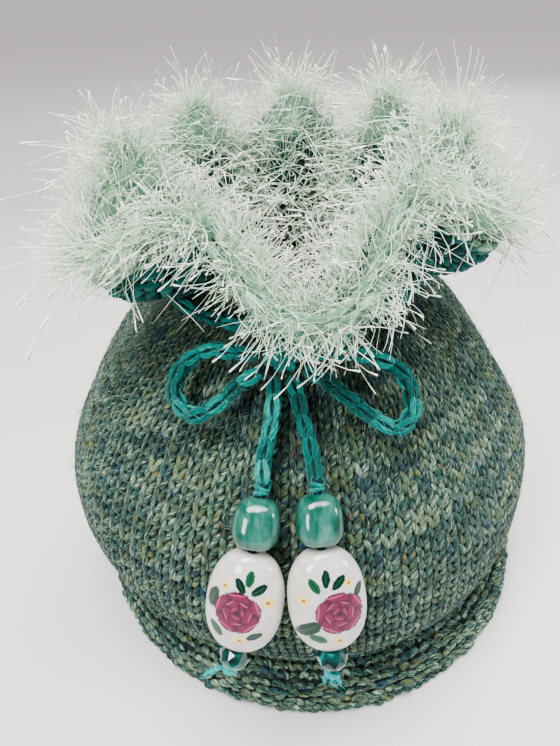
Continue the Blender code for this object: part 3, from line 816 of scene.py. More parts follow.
rows_of_fur = []
for station, count, focus, side in (
    (RIM - 0.45, 85, OUTER_FOCUS + 0.02, 1), (RIM - 0.25, 95, OUTER_FOCUS + 0.01, 1),
    (RIM - 0.05, 105, OUTER_FOCUS - 0.01, 1), (RIM, 105, RIM_FOCUS, 1), (RIM - 0.1, 110, 0.9, -1),
    (RIM - 0.8, 110, 0.9, -1), (RIM - 1.7, 110, 1.0, -1), (RIM - 2.6, 105, 1.3, -1),
    (RIM - 3.5, 95, 1.8, -1), (RIM - 4.4, 85, 2.4, -1), (RIM - 5.3, 75, 3.2, -1), (RIM - 6.0, 60, 4.0, -1),
):
    turns = np.arange(count) * 2 * pi / count
    rows_of_fur.append(wisp_places(turns, station, focus, side, 0.6 * pi / count))
ridge = wisp_places(np.arange(RIM_TUFTS) * 2 * pi / RIM_TUFTS, RIM, RIM_FOCUS, 1, 0.02)
ridge["out"] = unit(ridge["out"] + rng.normal(0, 1.3, (RIM_TUFTS, 3)))
ridge["co"] = ridge["co"] + np.array([0.0, 0.0, 0.0005])
ridge["size"] = ridge["size"] * rng.uniform(0.40, 0.90, (RIM_TUFTS, 1))
ridge["shade"] = ridge["shade"] - 0.2
rows_of_fur.append(ridge)
fur_roots = {key: np.concatenate([row[key] for row in rows_of_fur]) for key in rows_of_fur[0]}

fur_fibre, tree, shader = finish("eyelash_fibre", Roughness=0.42, Sheen_Weight=0.25, Sheen_Roughness=0.4)
yarn = node(tree, "ShaderNodeUVMap", uv_map="yarn").outputs[0]
along_fibre = node(tree, "ShaderNodeSeparateXYZ", {0: yarn}).outputs[0]
# Each fibre runs from dark green at its root, which is painted shade from the fibres over it, through mint to
# near white at its tip.
root_shade_to_pale_tip = maths(tree, "MULTIPLY", along_fibre, 0.85 / 14.0)
pale = maths(tree, "ADD", maths(tree, "MULTIPLY", mark(tree, "side"), 0.32), root_shade_to_pale_tip)
uneven = maths(tree, "MULTIPLY", maths(tree, "SUBTRACT", mark(tree, "shade"), 0.5), 0.25)
coloured(tree, shader, maths(tree, "ADD", pale, uneven), (
    (0.00, (0.08, 0.19, 0.12)), (0.22, (0.24, 0.44, 0.29)), (0.50, (0.56, 0.74, 0.56)),
    (0.80, (0.82, 0.91, 0.77)), (1.00, (0.94, 0.95, 0.86)),
))
streaks = noise(tree, 2500.0, 2.0)
tree.links.new(maths(tree, "ADD", maths(tree, "MULTIPLY", streaks, 0.2), 0.32), shader.inputs["Roughness"])

fur = []
kinds = rng.integers(0, WISP_KINDS, len(fur_roots["co"]))
for kind in range(WISP_KINDS):
    chosen = {key: values[kinds == kind] for key, values in fur_roots.items()}
    name = f"fur_wisps_{kind + 1}"
    fur += spread(name, wisp(kind + 40), chosen, fur_fibre, 0.10, 0.05, seed=51 + kind)


# Crochet cord
# The drawstring is a crocheted chain of teal wool, flat V links on both faces. It lies in the groove of the
# neck under the frill, and is knotted at the front into a bow with two loops and two tails.
CORD_RADIUS = 0.0019
CORD_HEART = 0.55
CORD_HAIR_ROOT = 0.6
LINK_SIZE = (0.96, 1.0, 0.92)
ROUTE_SPACING = 0.0008
LINK_PITCH = 0.0049
FUZZ_PER_POINT = 1.3
NECK_CORD_STATION = 12.75
NECK_CORD_POINTS = 70
NECK_CORD_DIP = 0.0010
NECK_CORD_CLEARANCE = 0.0016
CLOTH_HALF = 0.0015
LEFT_LOOP = ((-11.9, -41.9, 107.0), (-17.5, -41.0, 107.3), (-23.1, -38.4, 106.5), (-28.5, -38.6, 104.0),
             (-31.5, -41.4, 101.0), (-31.7, -45.4, 98.2), (-27.7, -50.0, 96.6), (-23.3, -50.4, 98.2),
             (-19.5, -48.7, 100.4), (-15.7, -46.0, 102.5), (-11.7, -43.8, 103.4))
RIGHT_LOOP = ((-0.9, -43.9, 103.4), (3.1, -47.6, 103.2), (7.9, -51.4, 100.6), (13.7, -54.7, 97.0),
              (18.9, -55.4, 94.8), (22.3, -52.4, 96.2), (22.8, -47.8, 99.4), (20.5, -44.3, 102.6),
              (14.9, -42.6, 105.2), (7.9, -42.4, 106.8), (-0.4, -41.9, 107.1))
LEFT_TAIL = ((-8.3, -44.9, 101.9), (-8.6, -49.6, 100.4), (-9.3, -53.8, 97.6), (-10.5, -57.2, 94.2),
             (-11.5, -60.2, 91.1))
RIGHT_TAIL = ((-4.1, -45.1, 101.9), (-3.3, -49.9, 100.2), (-2.3, -54.1, 97.4), (-1.4, -57.5, 94.2),
              (-0.7, -60.7, 91.5))
LEFT_STRING = ((-12.3, -65.7, 85.8), (-14.5, -72.8, 76.7), (-19.4, -81.4, 53.0), (-21.0, -81.6, 46.8))
RIGHT_STRING = ((0.1, -65.9, 86.6), (0.3, -73.2, 77.4), (2.2, -82.7, 53.9), (2.3, -83.5, 47.6))
TAIL_STRAIGHT = 0.0022
BEAD_GAP = 0.0005
PLY_RADIUS = 0.00036
PLY_TURN = 0.0042
END_KNOT_SIZE = (0.0055, 0.0024, 0.0026)


def smooth_route(points, closed=False):
    """Even points on a smooth curve through the given ones."""
    points = np.asarray(points, float)
    if closed:
        padded = np.vstack([points[-1:], points, points[:2]])
    else:
        padded = np.vstack([2 * points[:1] - points[1:2], points, 2 * points[-1:] - points[-2:-1]])
    t = np.linspace(0, 1, 16, endpoint=False)[:, None]
    fine = [smooth_between(*four, t) for four in zip(padded, padded[1:], padded[2:], padded[3:])]
    fine = np.vstack([*fine, padded[-2:-1]])
    length = np.concatenate([[0], np.cumsum(np.linalg.norm(np.diff(fine, axis=0), axis=1))])
    even = np.linspace(0, length[-1], max(4, round(length[-1] / ROUTE_SPACING)) + 1)
    return np.stack([np.interp(even, length, fine[:, axis]) for axis in range(3)], -1)


def ring_faces(count, sides, closed):
    """Quads that join rings of points into a tube, and its last ring to its first if it is closed."""
    faces = []
    for ring in range(count if closed else count - 1):
        near, far = ring * sides, (ring + 1) % count * sides
        for step in range(sides):
            after = (step + 1) % sides
            faces.append((near + step, near + after, far + after, far + step))
    return faces


def cord_core(route, radius, sides=10, closed=False):
    """The round middle of a cord, closed at its ends."""
    route = np.asarray(route)
    forward = unit(np.gradient(route, axis=0))
    if closed:
        forward = unit(np.roll(route, -1, axis=0) - np.roll(route, 1, axis=0))
    outward = route - np.array([BODY_LEAN, 0.0, 0.0])
    outward[:, 2] = 0.02
    across = unit(np.cross(forward, unit(outward)))
    out = np.cross(across, forward)
    angles = 2 * pi * np.arange(sides) / sides
    rings = route[:, None] + radius * (np.cos(angles)[None, :, None] * across[:, None]
                                       + np.sin(angles)[None, :, None] * out[:, None])
    count = len(route)
    faces = ring_faces(count, sides, closed)
    if not closed:
        for ring, turned in ((0, True), (count - 1, False)):
            cap = [ring * sides + step for step in range(sides)]
            faces.append(tuple(reversed(cap)) if turned else tuple(cap))
    return smooth_mesh("cord_core", rings.reshape(-1, 3), faces), forward, across, out


CHAIN_LINE = np.array(((0.15, -3.5, 0.0), (0.55, -2.5, 0.75), (1.12, -1.2, 1.10), (1.42, 0.2, 1.15),
                       (1.30, 1.5, 1.05), (0.85, 2.6, 0.85), (0.15, 3.3, 0.55)))
CHAIN_WIDTHS = (0.0, 0.40, 0.50, 0.52, 0.50, 0.44, 0.0)
CHAIN_INNER = ((0.62, 0.86, 0.92), (0.0, -0.1, 0.30))
chain_strands = []
for sign in (-1, 1):
    outer_ply = CHAIN_LINE * (sign, 1, 1)
    inner_ply = (CHAIN_LINE * CHAIN_INNER[0] + CHAIN_INNER[1]) * (sign, 1, 1)
    chain_strands += [strand(ply, CHAIN_WIDTHS, YARN_SIDES) for ply in (outer_ply, inner_ply)]
chain_link = yarn_mesh("chain_link", chain_strands, marks=(0.0, 0.35, 1.0, 0.65))
cord_yarn = plain_yarn("cord_yarn", (
    (0.22, (0.001, 0.040, 0.037)), (0.45, (0.001, 0.125, 0.110)), (0.60, (0.006, 0.230, 0.200)),
    (0.80, (0.06, 0.42, 0.37)),
), 0.12, 13.0)
# The cord's heart is coloured darker than its yarn: painted shade where it shows between the links.
cord_heart_painted_shade = purl_backing("cord_heart_painted_shade", (0.001, 0.030, 0.028), (0.003, 0.095, 0.085))
cord_fuzz = fuzz_finish("teal_loose_fibres", (0.006, 0.140, 0.120), (0.09, 0.38, 0.34))
cord_spray = fuzz_spray("cord_spray", 3.4, 4)


def add_to_cord(cord, added, material):
    """Joins another mesh into the cord's piece, with a finish of its own."""
    mesh = cord.data
    before = len(mesh.polygons)
    joined = bmesh.new()
    joined.from_mesh(mesh)
    joined.from_mesh(added)
    joined.to_mesh(mesh)
    joined.free()
    if material.name not in mesh.materials:
        mesh.materials.append(material)
    slot_number = mesh.materials.find(material.name)
    for polygon in mesh.polygons[before:]:
        polygon.material_index = slot_number
    mesh.shade_smooth()


def crochet_cord(name, points, closed=False, seed=1, fuzz=FUZZ_PER_POINT):
    """A cord with V links on its front and its back, joined to its core as one piece."""
    route = smooth_route(points, closed)
    if closed:
        route = route[:-1]
    core, forward, across, out = cord_core(route, CORD_RADIUS * CORD_HEART, closed=closed)
    step = max(1, round(LINK_PITCH / np.linalg.norm(route[1] - route[0])))
    chosen = np.arange(step // 2, len(route) - (0 if closed else step // 3), step)
    co, outs, ups = [], [], []
    for number, way in enumerate((out, -out)):
        at = chosen + (0 if number == 0 else step // 2)
        at = at[at < len(route)] if not closed else at % len(route)
        co.append(route[at])
        outs.append(way[at])
        ups.append(forward[at])
    dice = np.random.default_rng(seed)
    front_and_back = (np.concatenate(each) for each in (co, outs, ups))
    its_places = places_at(*front_and_back, LINK_SIZE, dice)
    links = spread(name + "_links", chain_link, its_places, cord_yarn, 0.10, 0.06, seed=seed)[0]
    add_to_cord(links, core, cord_heart_painted_shade)
    count = round(len(route) * fuzz)
    at = dice.integers(1, len(route) - 1, count)
    turned = dice.uniform(0, 2 * pi, (count, 1))
    away = np.cos(turned) * across[at] + np.sin(turned) * out[at]
    its_places = places_at(route[at] + away * CORD_RADIUS * CORD_HAIR_ROOT, away, forward[at], 1.0, dice)
    label, seed = name + "_fuzz", seed + 100
    hairs = spread(label, cord_spray, its_places, cord_fuzz, 0.4, 0.2, seed=seed)[0]
    add_to_cord(links, hairs.data, cord_fuzz)
    bpy.data.objects.remove(hairs)
    links.name = name
    links.data.name = name
    return links, route


turns = np.radians(np.arange(0, 360, 360 / NECK_CORD_POINTS))
ring_middle = cloth_middle(turns, NECK_CORD_STATION)
ring_reach = profile(np.full_like(turns, NECK_CORD_STATION))[2]
outward = unit((ring_middle - np.array([BODY_LEAN, 0, 0])) * (1, 1, 0))
in_valley = (1 - flute_wave(turns)) / 2
clear = CLOTH_HALF + NECK_CORD_CLEARANCE + CORD_RADIUS + (2 * ring_reach - NECK_CORD_DIP) * in_valley
ring_route = ring_middle + outward * clear[:, None]
neck_cord, _ = crochet_cord("neck_drawstring", ring_route, closed=True, seed=61, fuzz=0.5)
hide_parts("neck_cord")


# Bow and tails
# The knot is two turns of the cord over a third. A loop leaves it on either side, and each tail hangs down
# the bulge to its beads, with a thin thread of its yarn on through them to a knot under the crystal.
KNOT_PLACE = Vector((-0.0061, -0.0417, 0.1066))
KNOT_TURN = radians(-7)
KNOT_WRAPS = ((-1.1, 0.418, 3.0, 1.35), (1.1, 0.342, 3.0, 1.35), (0.0, -1.71, 2.7, 1.2))
KNOT_CORE = ((-4.9, 0, 0), (-4.3, 0, 0), (-2.5, 0, 0), (0, 0, 0), (2.5, 0, 0), (4.3, 0, 0), (4.9, 0, 0))
KNOT_CORE_WIDTHS = (0, 1.7, 2.5, 2.8, 2.5, 1.7, 0)


def wound(line, width, sides, out=(0, 0, 1)):
    """A turn of yarn round something else, equally thick all along."""
    widths = np.full(len(line), width)
    widths[[0, -1]] = 0
    return strand(line, widths, sides, 0.9, out)


wrap_strands = []
angle = np.linspace(0, 2 * pi, 15)
for shift, slant, tall, wide in KNOT_WRAPS:
    line = np.stack([shift + slant * np.cos(angle), -tall * np.cos(angle), 2.9 * np.sin(angle)], -1)
    wrap_strands.append(wound(line, wide, 9, (1, 0, 0)))
wrap_strands.append(strand(KNOT_CORE, KNOT_CORE_WIDTHS, 12, 1.0, (0, 1, 0)))
knot_mesh = yarn_mesh("bow_knot_wraps", wrap_strands, marks=(0.2, 0.5, 0.8, 0.4))
set_marks(knot_mesh, shade=0.5, fleck=0.3)
knot_mesh.transform(Matrix.Translation(KNOT_PLACE) @ Matrix.Rotation(KNOT_TURN, 4, "Y"))
knot_mesh.materials.append(cord_yarn)
knot = new_piece("bow_knot_wraps", knot_mesh)
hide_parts("bow_knot")

for side, loop in (("left", LEFT_LOOP), ("right", RIGHT_LOOP)):
    loop_points = np.array(loop) / 1000
    made, route = crochet_cord(f"loop_of_cord_{side}", loop_points, seed=71 if side == "left" else 72)
    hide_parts(f"bow_loop_{side}")


# Beads
# Each tail carries three beads: a tumbled jade-green nugget, a white glazed oval painted with roses, and a
# small cut crystal of emerald glass. A knot of the yarn, with its frayed ends, keeps them on.
NUGGET_WIDTH = 0.0100
NUGGET_DEPTH = 0.0094
NUGGET_SQUARENESS = 3.0
OVAL_WIDTH = 0.0176
OVAL_DEPTH = 0.0104
OVAL_FULLNESS = 2.25
CRYSTAL_WIDTH = 0.0076
CRYSTAL_TABLE = 0.28
CRYSTAL_SHOULDER = 0.43
CRYSTAL_SIDES = 8
BORE_RADIUS = 0.00095
BORE_SHARE = 0.86


def axis_frame(foot, head):
    """A frame at the middle of foot and head, +Z from foot to head, -Y out of the cloth."""
    foot, head = Vector(foot), Vector(head)
    up = (head - foot).normalized()
    away = Vector((foot.x - BODY_LEAN, foot.y, 0)).normalized()
    across = up.cross(-away).normalized() * -1
    depth = up.cross(across)
    return Matrix.Translation((foot + head) / 2) @ Matrix((across, depth, up)).transposed().to_4x4()


def turned_bead(name, length, rows, columns, shape, material):
    """A bead of smooth rings round its axis, with a drawn-in hole at either end and a bore between."""
    angles = 2 * pi * np.arange(columns) / columns
    rings = [shape(share, angles, length) for share in np.linspace(0, 1, rows)]
    for height in (0.5, -0.5):
        rings.append(np.stack([np.cos(angles) * BORE_RADIUS, np.sin(angles) * BORE_RADIUS,
                               np.full(columns, height * length * BORE_SHARE)], -1))
    mesh = smooth_mesh(name, np.concatenate(rings), ring_faces(len(rings), columns, closed=True))
    mesh.materials.append(material)
    return mesh


def oval_ring(share, angles, length):
    """An egg-smooth ring: its radius follows a half ellipse and closes on the hole."""
    height = -cos(pi * share)
    spread_out = max(1 - abs(height) ** OVAL_FULLNESS, 0) ** (1 / OVAL_FULLNESS)
    spread_out *= 1 - 0.035 * height
    across = BORE_RADIUS + (OVAL_WIDTH / 2 - BORE_RADIUS) * spread_out
    deep = BORE_RADIUS + (OVAL_DEPTH / 2 - BORE_RADIUS) * spread_out
    heights = np.full(len(angles), height * length / 2)
    return np.stack([np.cos(angles) * across, np.sin(angles) * deep, heights], -1)


def nugget_ring(share, angles, length):
    """A tumbled stone: between a ball and the box that holds it, a little narrower at its top."""
    height = -cos(pi * share)
    flat = max(1 - height**2, 0) ** 0.5
    ring = np.stack([np.cos(angles) * flat, np.sin(angles) * flat, np.full(len(angles), height)], -1)
    ring = ring / (np.abs(ring) ** NUGGET_SQUARENESS).sum(-1, keepdims=True) ** (1 / NUGGET_SQUARENESS)
    lumps = 1 + 0.030 * np.sin(2 * angles + 3 * share) + 0.015 * np.sin(3 * angles - 4 * share + 1)
    ring[:, :2] *= (lumps * (1.0 - 0.07 * height))[:, None]
    ring *= (NUGGET_WIDTH / 2, NUGGET_DEPTH / 2, length / 2)
    radius = np.linalg.norm(ring[:, :2], axis=1, keepdims=True)
    ring[:, :2] *= np.maximum(radius, BORE_RADIUS) / np.maximum(radius, 1e-9)
    if flat < 1e-6:
        ring[:, 0], ring[:, 1] = np.cos(angles) * BORE_RADIUS, np.sin(angles) * BORE_RADIUS
    return ring


def crystal_mesh(name, length, material):
    """A cut bead: flat facets in four belts between a table at either end."""
    table, shoulder, girdle = (share * CRYSTAL_WIDTH for share in (CRYSTAL_TABLE, CRYSTAL_SHOULDER, 0.5))
    belts = ((-0.5, table, 0.0), (-0.24, shoulder, 0.5), (-0.03, girdle, 0.0), (0.03, girdle, 0.0),
             (0.24, shoulder, 0.5), (0.5, table, 0.0))
    rings = []
    for height, radius, turn in belts:
        angles = 2 * pi * (np.arange(CRYSTAL_SIDES) + turn) / CRYSTAL_SIDES
        rings.append(np.stack([np.cos(angles) * radius, np.sin(angles) * radius,
                               np.full(CRYSTAL_SIDES, height * length)], -1))
    cut = bmesh.new()
    for point in np.concatenate(rings):
        cut.verts.new(point)
    bmesh.ops.convex_hull(cut, input=cut.verts)
    bmesh.ops.dissolve_limit(cut, angle_limit=radians(1), verts=cut.verts, edges=cut.edges)
    bmesh.ops.recalc_face_normals(cut, faces=cut.faces)
    mesh = bpy.data.meshes.new(name)
    cut.to_mesh(mesh)
    cut.free()
    mesh.shade_flat()
    mesh.materials.append(material)
    return mesh


# Jade: milky green stone, polished by tumbling, with pale clouds and a few dark veins.
jade, tree, shader = finish("jade", Roughness=0.12, Coat_Weight=0.25, Coat_Roughness=0.03)
stone = node(tree, "ShaderNodeTexCoord").outputs["Object"]
drawn = node(tree, "ShaderNodeMapping", {"Vector": stone, "Scale": (1.0, 0.45, 0.28)}).outputs[0]
clouds = noise(tree, 420.0, 4.0, Vector=drawn, Distortion=0.6)
veins = noise(tree, 1400.0, 3.0, Vector=drawn, Distortion=0.3)
silk = maths(tree, "ADD", maths(tree, "MULTIPLY", clouds, 0.75), maths(tree, "MULTIPLY", veins, 0.25))
coloured(tree, shader, silk, (
    (0.30, (0.003, 0.050, 0.032)), (0.44, (0.014, 0.100, 0.072)), (0.58, (0.040, 0.160, 0.122)),
    (0.74, (0.12, 0.28, 0.23)),
))
raised(tree, shader, veins, 0.00005, 0.12)


# Painted glaze: dabs of colour under a clear glaze, roses with leaves and small cream flowers.
def dab_group():
    """One brush dab on the bead's face: an ellipse in millimetres with a slightly uneven edge."""
    tree = bpy.data.node_groups.new("Brush dab", "ShaderNodeTree")
    face = tree.interface
    for name in ("Across", "Up", "Centre across", "Centre up", "Turn", "Length", "Width", "Wobble"):
        face.new_socket(name, in_out="INPUT", socket_type="NodeSocketFloat")
    face.new_socket("Mask", in_out="OUTPUT", socket_type="NodeSocketFloat")
    given = node(tree, "NodeGroupInput").outputs
    x = maths(tree, "SUBTRACT", given["Across"], given["Centre across"])
    y = maths(tree, "SUBTRACT", given["Up"], given["Centre up"])
    cosine, sine = maths(tree, "COSINE", given["Turn"]), maths(tree, "SINE", given["Turn"])
    along = maths(tree, "ADD", maths(tree, "MULTIPLY", x, cosine), maths(tree, "MULTIPLY", y, sine))
    beside = maths(tree, "SUBTRACT", maths(tree, "MULTIPLY", y, cosine), maths(tree, "MULTIPLY", x, sine))
    along = maths(tree, "DIVIDE", along, given["Length"])
    beside = maths(tree, "DIVIDE", beside, given["Width"])
    pointed = maths(tree, "POWER", maths(tree, "ABSOLUTE", along), 1.4)
    reach = maths(tree, "ADD", maths(tree, "POWER", pointed, 1.3), maths(tree, "MULTIPLY", beside, beside))
    reach = maths(tree, "ADD", reach, given["Wobble"])
    edge = node(tree, "ShaderNodeMapRange", {"Value": reach, "From Min": 1.08, "From Max": 0.84})
    result = node(tree, "NodeGroupOutput")
    tree.links.new(edge.outputs[0], result.inputs[0])
    return tree


dab = dab_group()
ROSE_DEEP = (0.030, 0.001, 0.008)
ROSE = (0.090, 0.001, 0.026)
ROSE_MID = (0.150, 0.004, 0.048)
ROSE_PALE = (0.320, 0.040, 0.125)
LEAF = (0.002, 0.026, 0.014)
LEAF_PALE = (0.012, 0.080, 0.036)
CREAM = (0.72, 0.54, 0.16)
AMBER = (0.30, 0.12, 0.03)


def rose_dabs(x, y, size):
    """A rose: broad outer petals with pale rims over a dark ground, and a curled heart above its middle."""
    dabs = []
    for petals, reach, wide, deep, first in ((5, 0.58, 0.62, 0.44, 0.45), (5, 0.36, 0.44, 0.30, 1.10),
                                             (3, 0.16, 0.28, 0.19, 0.30)):
        for index in range(petals):
            turn = index * 2 * pi / petals + first
            for out, long, thick, tint in ((1.00, 1.00, 1.00, ROSE_DEEP), (1.06, 0.92, 0.84, ROSE),
                                           (1.22, 0.80, 0.50, ROSE_MID), (1.52, 0.62, 0.12, ROSE_PALE)):
                across, up = out * reach * cos(turn), 0.10 + out * reach * sin(turn) * 0.92
                dabs.append((x + size * across, y + size * up, turn + pi / 2,
                             wide * long * size, deep * thick * size, tint))
    dabs.append((x, y + 0.12 * size, 0.5, size * 0.13, size * 0.10, ROSE_DEEP))
    return dabs


def leaf_dabs(x, y, turn, length, tint=LEAF):
    """A leaf with a rib of the other green."""
    dabs = [(x, y, turn, length, length * 0.50, tint)]
    dabs.append((x, y, turn, length * 0.78, length * 0.05, LEAF_PALE if tint == LEAF else LEAF))
    return dabs


def flower_dabs(x, y, size):
    """A small cream flower of five petals."""
    dabs = []
    for index in range(5):
        turn = index * 2 * pi / 5 + 0.2
        across, up = 0.55 * size * cos(turn), 0.55 * size * sin(turn)
        dabs.append((x + across, y + up, turn, size * 0.48, size * 0.36, CREAM))
    dabs.append((x, y, 0.0, size * 0.30, size * 0.28, AMBER))
    return dabs


def painted_glaze(name, frame_matrix, dabs):
    """White glaze with the dabs painted on the bead's front and, turned over, on its back."""
    material, tree, shader = finish(name, Roughness=0.10, Coat_Weight=0.15, Coat_Roughness=0.03)
    place = node(tree, "ShaderNodeTexCoord").outputs["Object"]
    inverse = frame_matrix.inverted()
    turn, spot = inverse.to_euler("XYZ"), inverse.to_translation()
    own = node(tree, "ShaderNodeMapping", {"Vector": place, "Location": spot * 1000, "Rotation": turn,
                                           "Scale": (1000, 1000, 1000)}).outputs[0]
    parts = node(tree, "ShaderNodeSeparateXYZ", {0: own}).outputs
    wobble = maths(tree, "MULTIPLY", maths(tree, "SUBTRACT", noise(tree, 1.6, 3.0, Vector=own), 0.5), 0.9)
    clouds = noise(tree, 0.5, 2.0, Vector=own)
    colour = ramp(tree, clouds, ((0.3, (0.47, 0.455, 0.42)), (0.7, (0.59, 0.575, 0.54))))
    for x, y, turned, length, width, tint in dabs:
        made = node(tree, "ShaderNodeGroup", {
            "Across": parts[0], "Up": parts[2], "Wobble": wobble, "Centre across": x, "Centre up": y,
            "Turn": turned, "Length": length, "Width": width,
        }, node_tree=dab)
        colour = blend(tree, made.outputs[0], colour, (*tint, 1.0))
    tree.links.new(colour, shader.inputs["Base Color"])
    raised(tree, shader, noise(tree, 0.45, 2.0, Vector=own), 0.0002, 0.25)
    polish = maths(tree, "ADD", maths(tree, "MULTIPLY", clouds, 0.06), 0.06)
    tree.links.new(polish, shader.inputs["Roughness"])
    return material


LEFT_DABS = (
    *leaf_dabs(-6.6, 1.8, 1.35, 2.6), *leaf_dabs(-1.0, 6.6, 2.2, 1.9),
    *leaf_dabs(0.8, 8.4, 1.5, 1.9, LEAF_PALE), *leaf_dabs(3.1, 6.3, 0.7, 2.0),
    *leaf_dabs(-4.9, -5.6, -0.8, 2.2, LEAF_PALE), *leaf_dabs(3.6, -5.4, 0.5, 1.9),
    *flower_dabs(5.4, 3.4, 1.5), *flower_dabs(0.6, -7.0, 1.3), *flower_dabs(-4.4, 5.6, 1.1),
    *rose_dabs(-0.8, -0.5, 5.3),
)
RIGHT_DABS = (
    *leaf_dabs(-4.8, -4.2, 0.5, 3.3), *leaf_dabs(-2.6, 6.2, 2.1, 1.9, LEAF_PALE),
    *leaf_dabs(0.0, 7.6, 1.5, 1.9), *leaf_dabs(2.6, 6.4, 0.7, 2.0),
    *leaf_dabs(-3.0, -6.8, -0.4, 2.2, LEAF_PALE), *leaf_dabs(6.6, 3.4, 1.1, 1.7),
    *flower_dabs(-5.2, 2.8, 1.4), *flower_dabs(1.6, -7.8, 1.4), *flower_dabs(4.8, 5.8, 1.1),
    *rose_dabs(2.2, -1.3, 5.3),
)


# Emerald glass: deep green-blue that varies through the glass, with bright patches of painted light as glints
# in the cut.
emerald, tree, shader = finish("emerald_glass", Roughness=0.02, Transmission_Weight=0.30, IOR=1.6,
                               Coat_Weight=0.5)
painted_glints = noise(tree, 300.0, 1.0, Vector=node(tree, "ShaderNodeTexCoord").outputs["Object"])
coloured(tree, shader, painted_glints, (
    (0.38, (0.0, 0.022, 0.022)), (0.55, (0.0, 0.10, 0.085)), (0.68, (0.01, 0.46, 0.38)),
))

tuft_yarn = plain_yarn("tuft_yarn", (
    (0.25, (0.006, 0.120, 0.130)), (0.50, (0.020, 0.330, 0.330)), (0.75, (0.20, 0.62, 0.58)),
), 0.35, 6.0)

YARN_ENDS = {"left": (6.4, ((-1.0, -0.10), (-0.9, -0.35), (-0.8, 0.15))),
             "right": (4.4, ((-0.5, -0.8), (0.45, -0.85), (0.1, -1.0)))}
YARN_END_WIDTHS = (0, 0.50, 0.56, 0.58, 0.60, 0.62, 0.66, 0.60, 0)
SPRAY_WIDTHS = (0, 0.14, 0.12, 0.09, 0)
around = np.linspace(0, 2 * pi, 13)

for side, tail, string, dabs in (("left", LEFT_TAIL, LEFT_STRING, LEFT_DABS),
                                 ("right", RIGHT_TAIL, RIGHT_STRING, RIGHT_DABS)):
    stops = [Vector(point) / 1000 for point in string]
    nugget_frame = axis_frame(stops[1], stops[0])
    oval_frame = axis_frame(stops[2], stops[1])
    crystal_frame = axis_frame(stops[3], stops[2])
    lengths = [(head - foot).length - BEAD_GAP for head, foot in zip(stops, stops[1:])]

    nugget_mesh = turned_bead(f"jade_nugget_{side}", lengths[0], 40, 48, nugget_ring, jade)
    nugget_mesh.transform(nugget_frame)
    nugget = new_piece(f"jade_nugget_{side}", nugget_mesh)
    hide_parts(f"nugget_bead_{side}")

    glaze = painted_glaze(f"painted_glaze_{side}", oval_frame, dabs)
    oval_mesh = turned_bead(f"rose_oval_{side}", lengths[1], 64, 80, oval_ring, glaze)
    oval_mesh.transform(oval_frame)
    oval = new_piece(f"rose_oval_{side}", oval_mesh)
    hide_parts(f"oval_bead_{side}")

    cut = crystal_mesh(f"cut_crystal_{side}", lengths[2], emerald)
    cut.transform(crystal_frame)
    crystal = new_piece(f"cut_crystal_{side}", cut)
    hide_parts(f"crystal_bead_{side}")

    down = (stops[3] - stops[2]).normalized()
    knot_middle = stops[3] + down * (BEAD_GAP + END_KNOT_SIZE[2])
    dice = np.random.default_rng(81 if side == "left" else 82)
    tufts = []
    reach, ways = YARN_ENDS[side]
    for sideways, fall in ways:
        t = np.linspace(0, 1, 9)
        line = np.stack([sideways * reach * t, dice.normal(0, 0.25) - 0.8 * t + 0.5 * np.sin(4 * t),
                         fall * reach * t + dice.normal(0, 0.2)], -1)
        tufts.append(strand(line, YARN_END_WIDTHS, 8, 0.7, (0, -1, 0)))
        for _ in range(5):
            spray = line[-3:] + dice.normal(0, 0.55, (3, 3)) * np.array([[0.2], [0.7], [1.3]])
            spray = np.vstack([line[-4:-3], spray, spray[-1:] + dice.normal(0, 0.5, (1, 3))])
            tufts.append(strand(spray, SPRAY_WIDTHS, 4, 0.8, (0, -1, 0)))
    for tilt in (0.40, -0.48):
        line = np.stack([1.3 * np.cos(around), 1.1 * np.sin(around), tilt * np.cos(around)], -1)
        tufts.append(wound(line, 0.72, 8))
    tuft_mesh = yarn_mesh(f"yarn_end_{side}", tufts, marks=dice.random(len(tufts)))
    set_marks(tuft_mesh, shade=0.55, fleck=0.2)
    tuft_mesh.transform(Matrix.Translation(knot_middle))
    tuft_mesh.materials.append(tuft_yarn)
    tuft = new_piece(f"yarn_end_{side}", tuft_mesh)
    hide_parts(f"end_knot_{side}")

    into = (stops[0] - stops[1]).normalized()
    tail_points = [Vector(point) / 1000 for point in tail]
    tail_points += [stops[0] + into * TAIL_STRAIGHT, stops[0] + into * BEAD_GAP]
    seed = 91 if side == "left" else 92
    tail_cord, tail_route = crochet_cord(f"tail_of_cord_{side}", tail_points, seed=seed)
    thread_points = [stops[0] + into * BEAD_GAP * 3, *stops[:3], stops[3] + down * BEAD_GAP * 2]
    thread_route = smooth_route(thread_points)
    # The thread through the beads takes the heart's darker finish: painted shade in the gaps between the
    # beads.
    thread_mesh, _, across, out = cord_core(thread_route, PLY_RADIUS, sides=8)
    add_to_cord(tail_cord, thread_mesh, cord_heart_painted_shade)
    for ply in range(3):
        turned = 2 * pi * (np.arange(len(thread_route)) * ROUTE_SPACING / PLY_TURN + ply / 3)[:, None]
        beside = PLY_RADIUS * (np.cos(turned) * across + np.sin(turned) * out)
        add_to_cord(tail_cord, cord_core(thread_route + beside, PLY_RADIUS, sides=8)[0], cord_heart_painted_shade)
    binding = []
    for lift, tilt in ((0.75, 0.25), (1.55, -0.35)):
        line = np.stack([1.25 * np.cos(around), 1.0 * np.sin(around), lift + tilt * np.cos(around)], -1)
        binding.append(wound(line, 0.62, 7))
    binding_mesh = yarn_mesh(f"binding_{side}", binding, marks=(0.2, 0.7))
    set_marks(binding_mesh, shade=0.6, fleck=0.3)
    binding_mesh.transform(Matrix.Translation(stops[0]) @ nugget_frame.to_3x3().to_4x4())
    add_to_cord(tail_cord, binding_mesh, cord_yarn)
    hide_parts(f"tail_{side}", f"bead_thread_{side}")
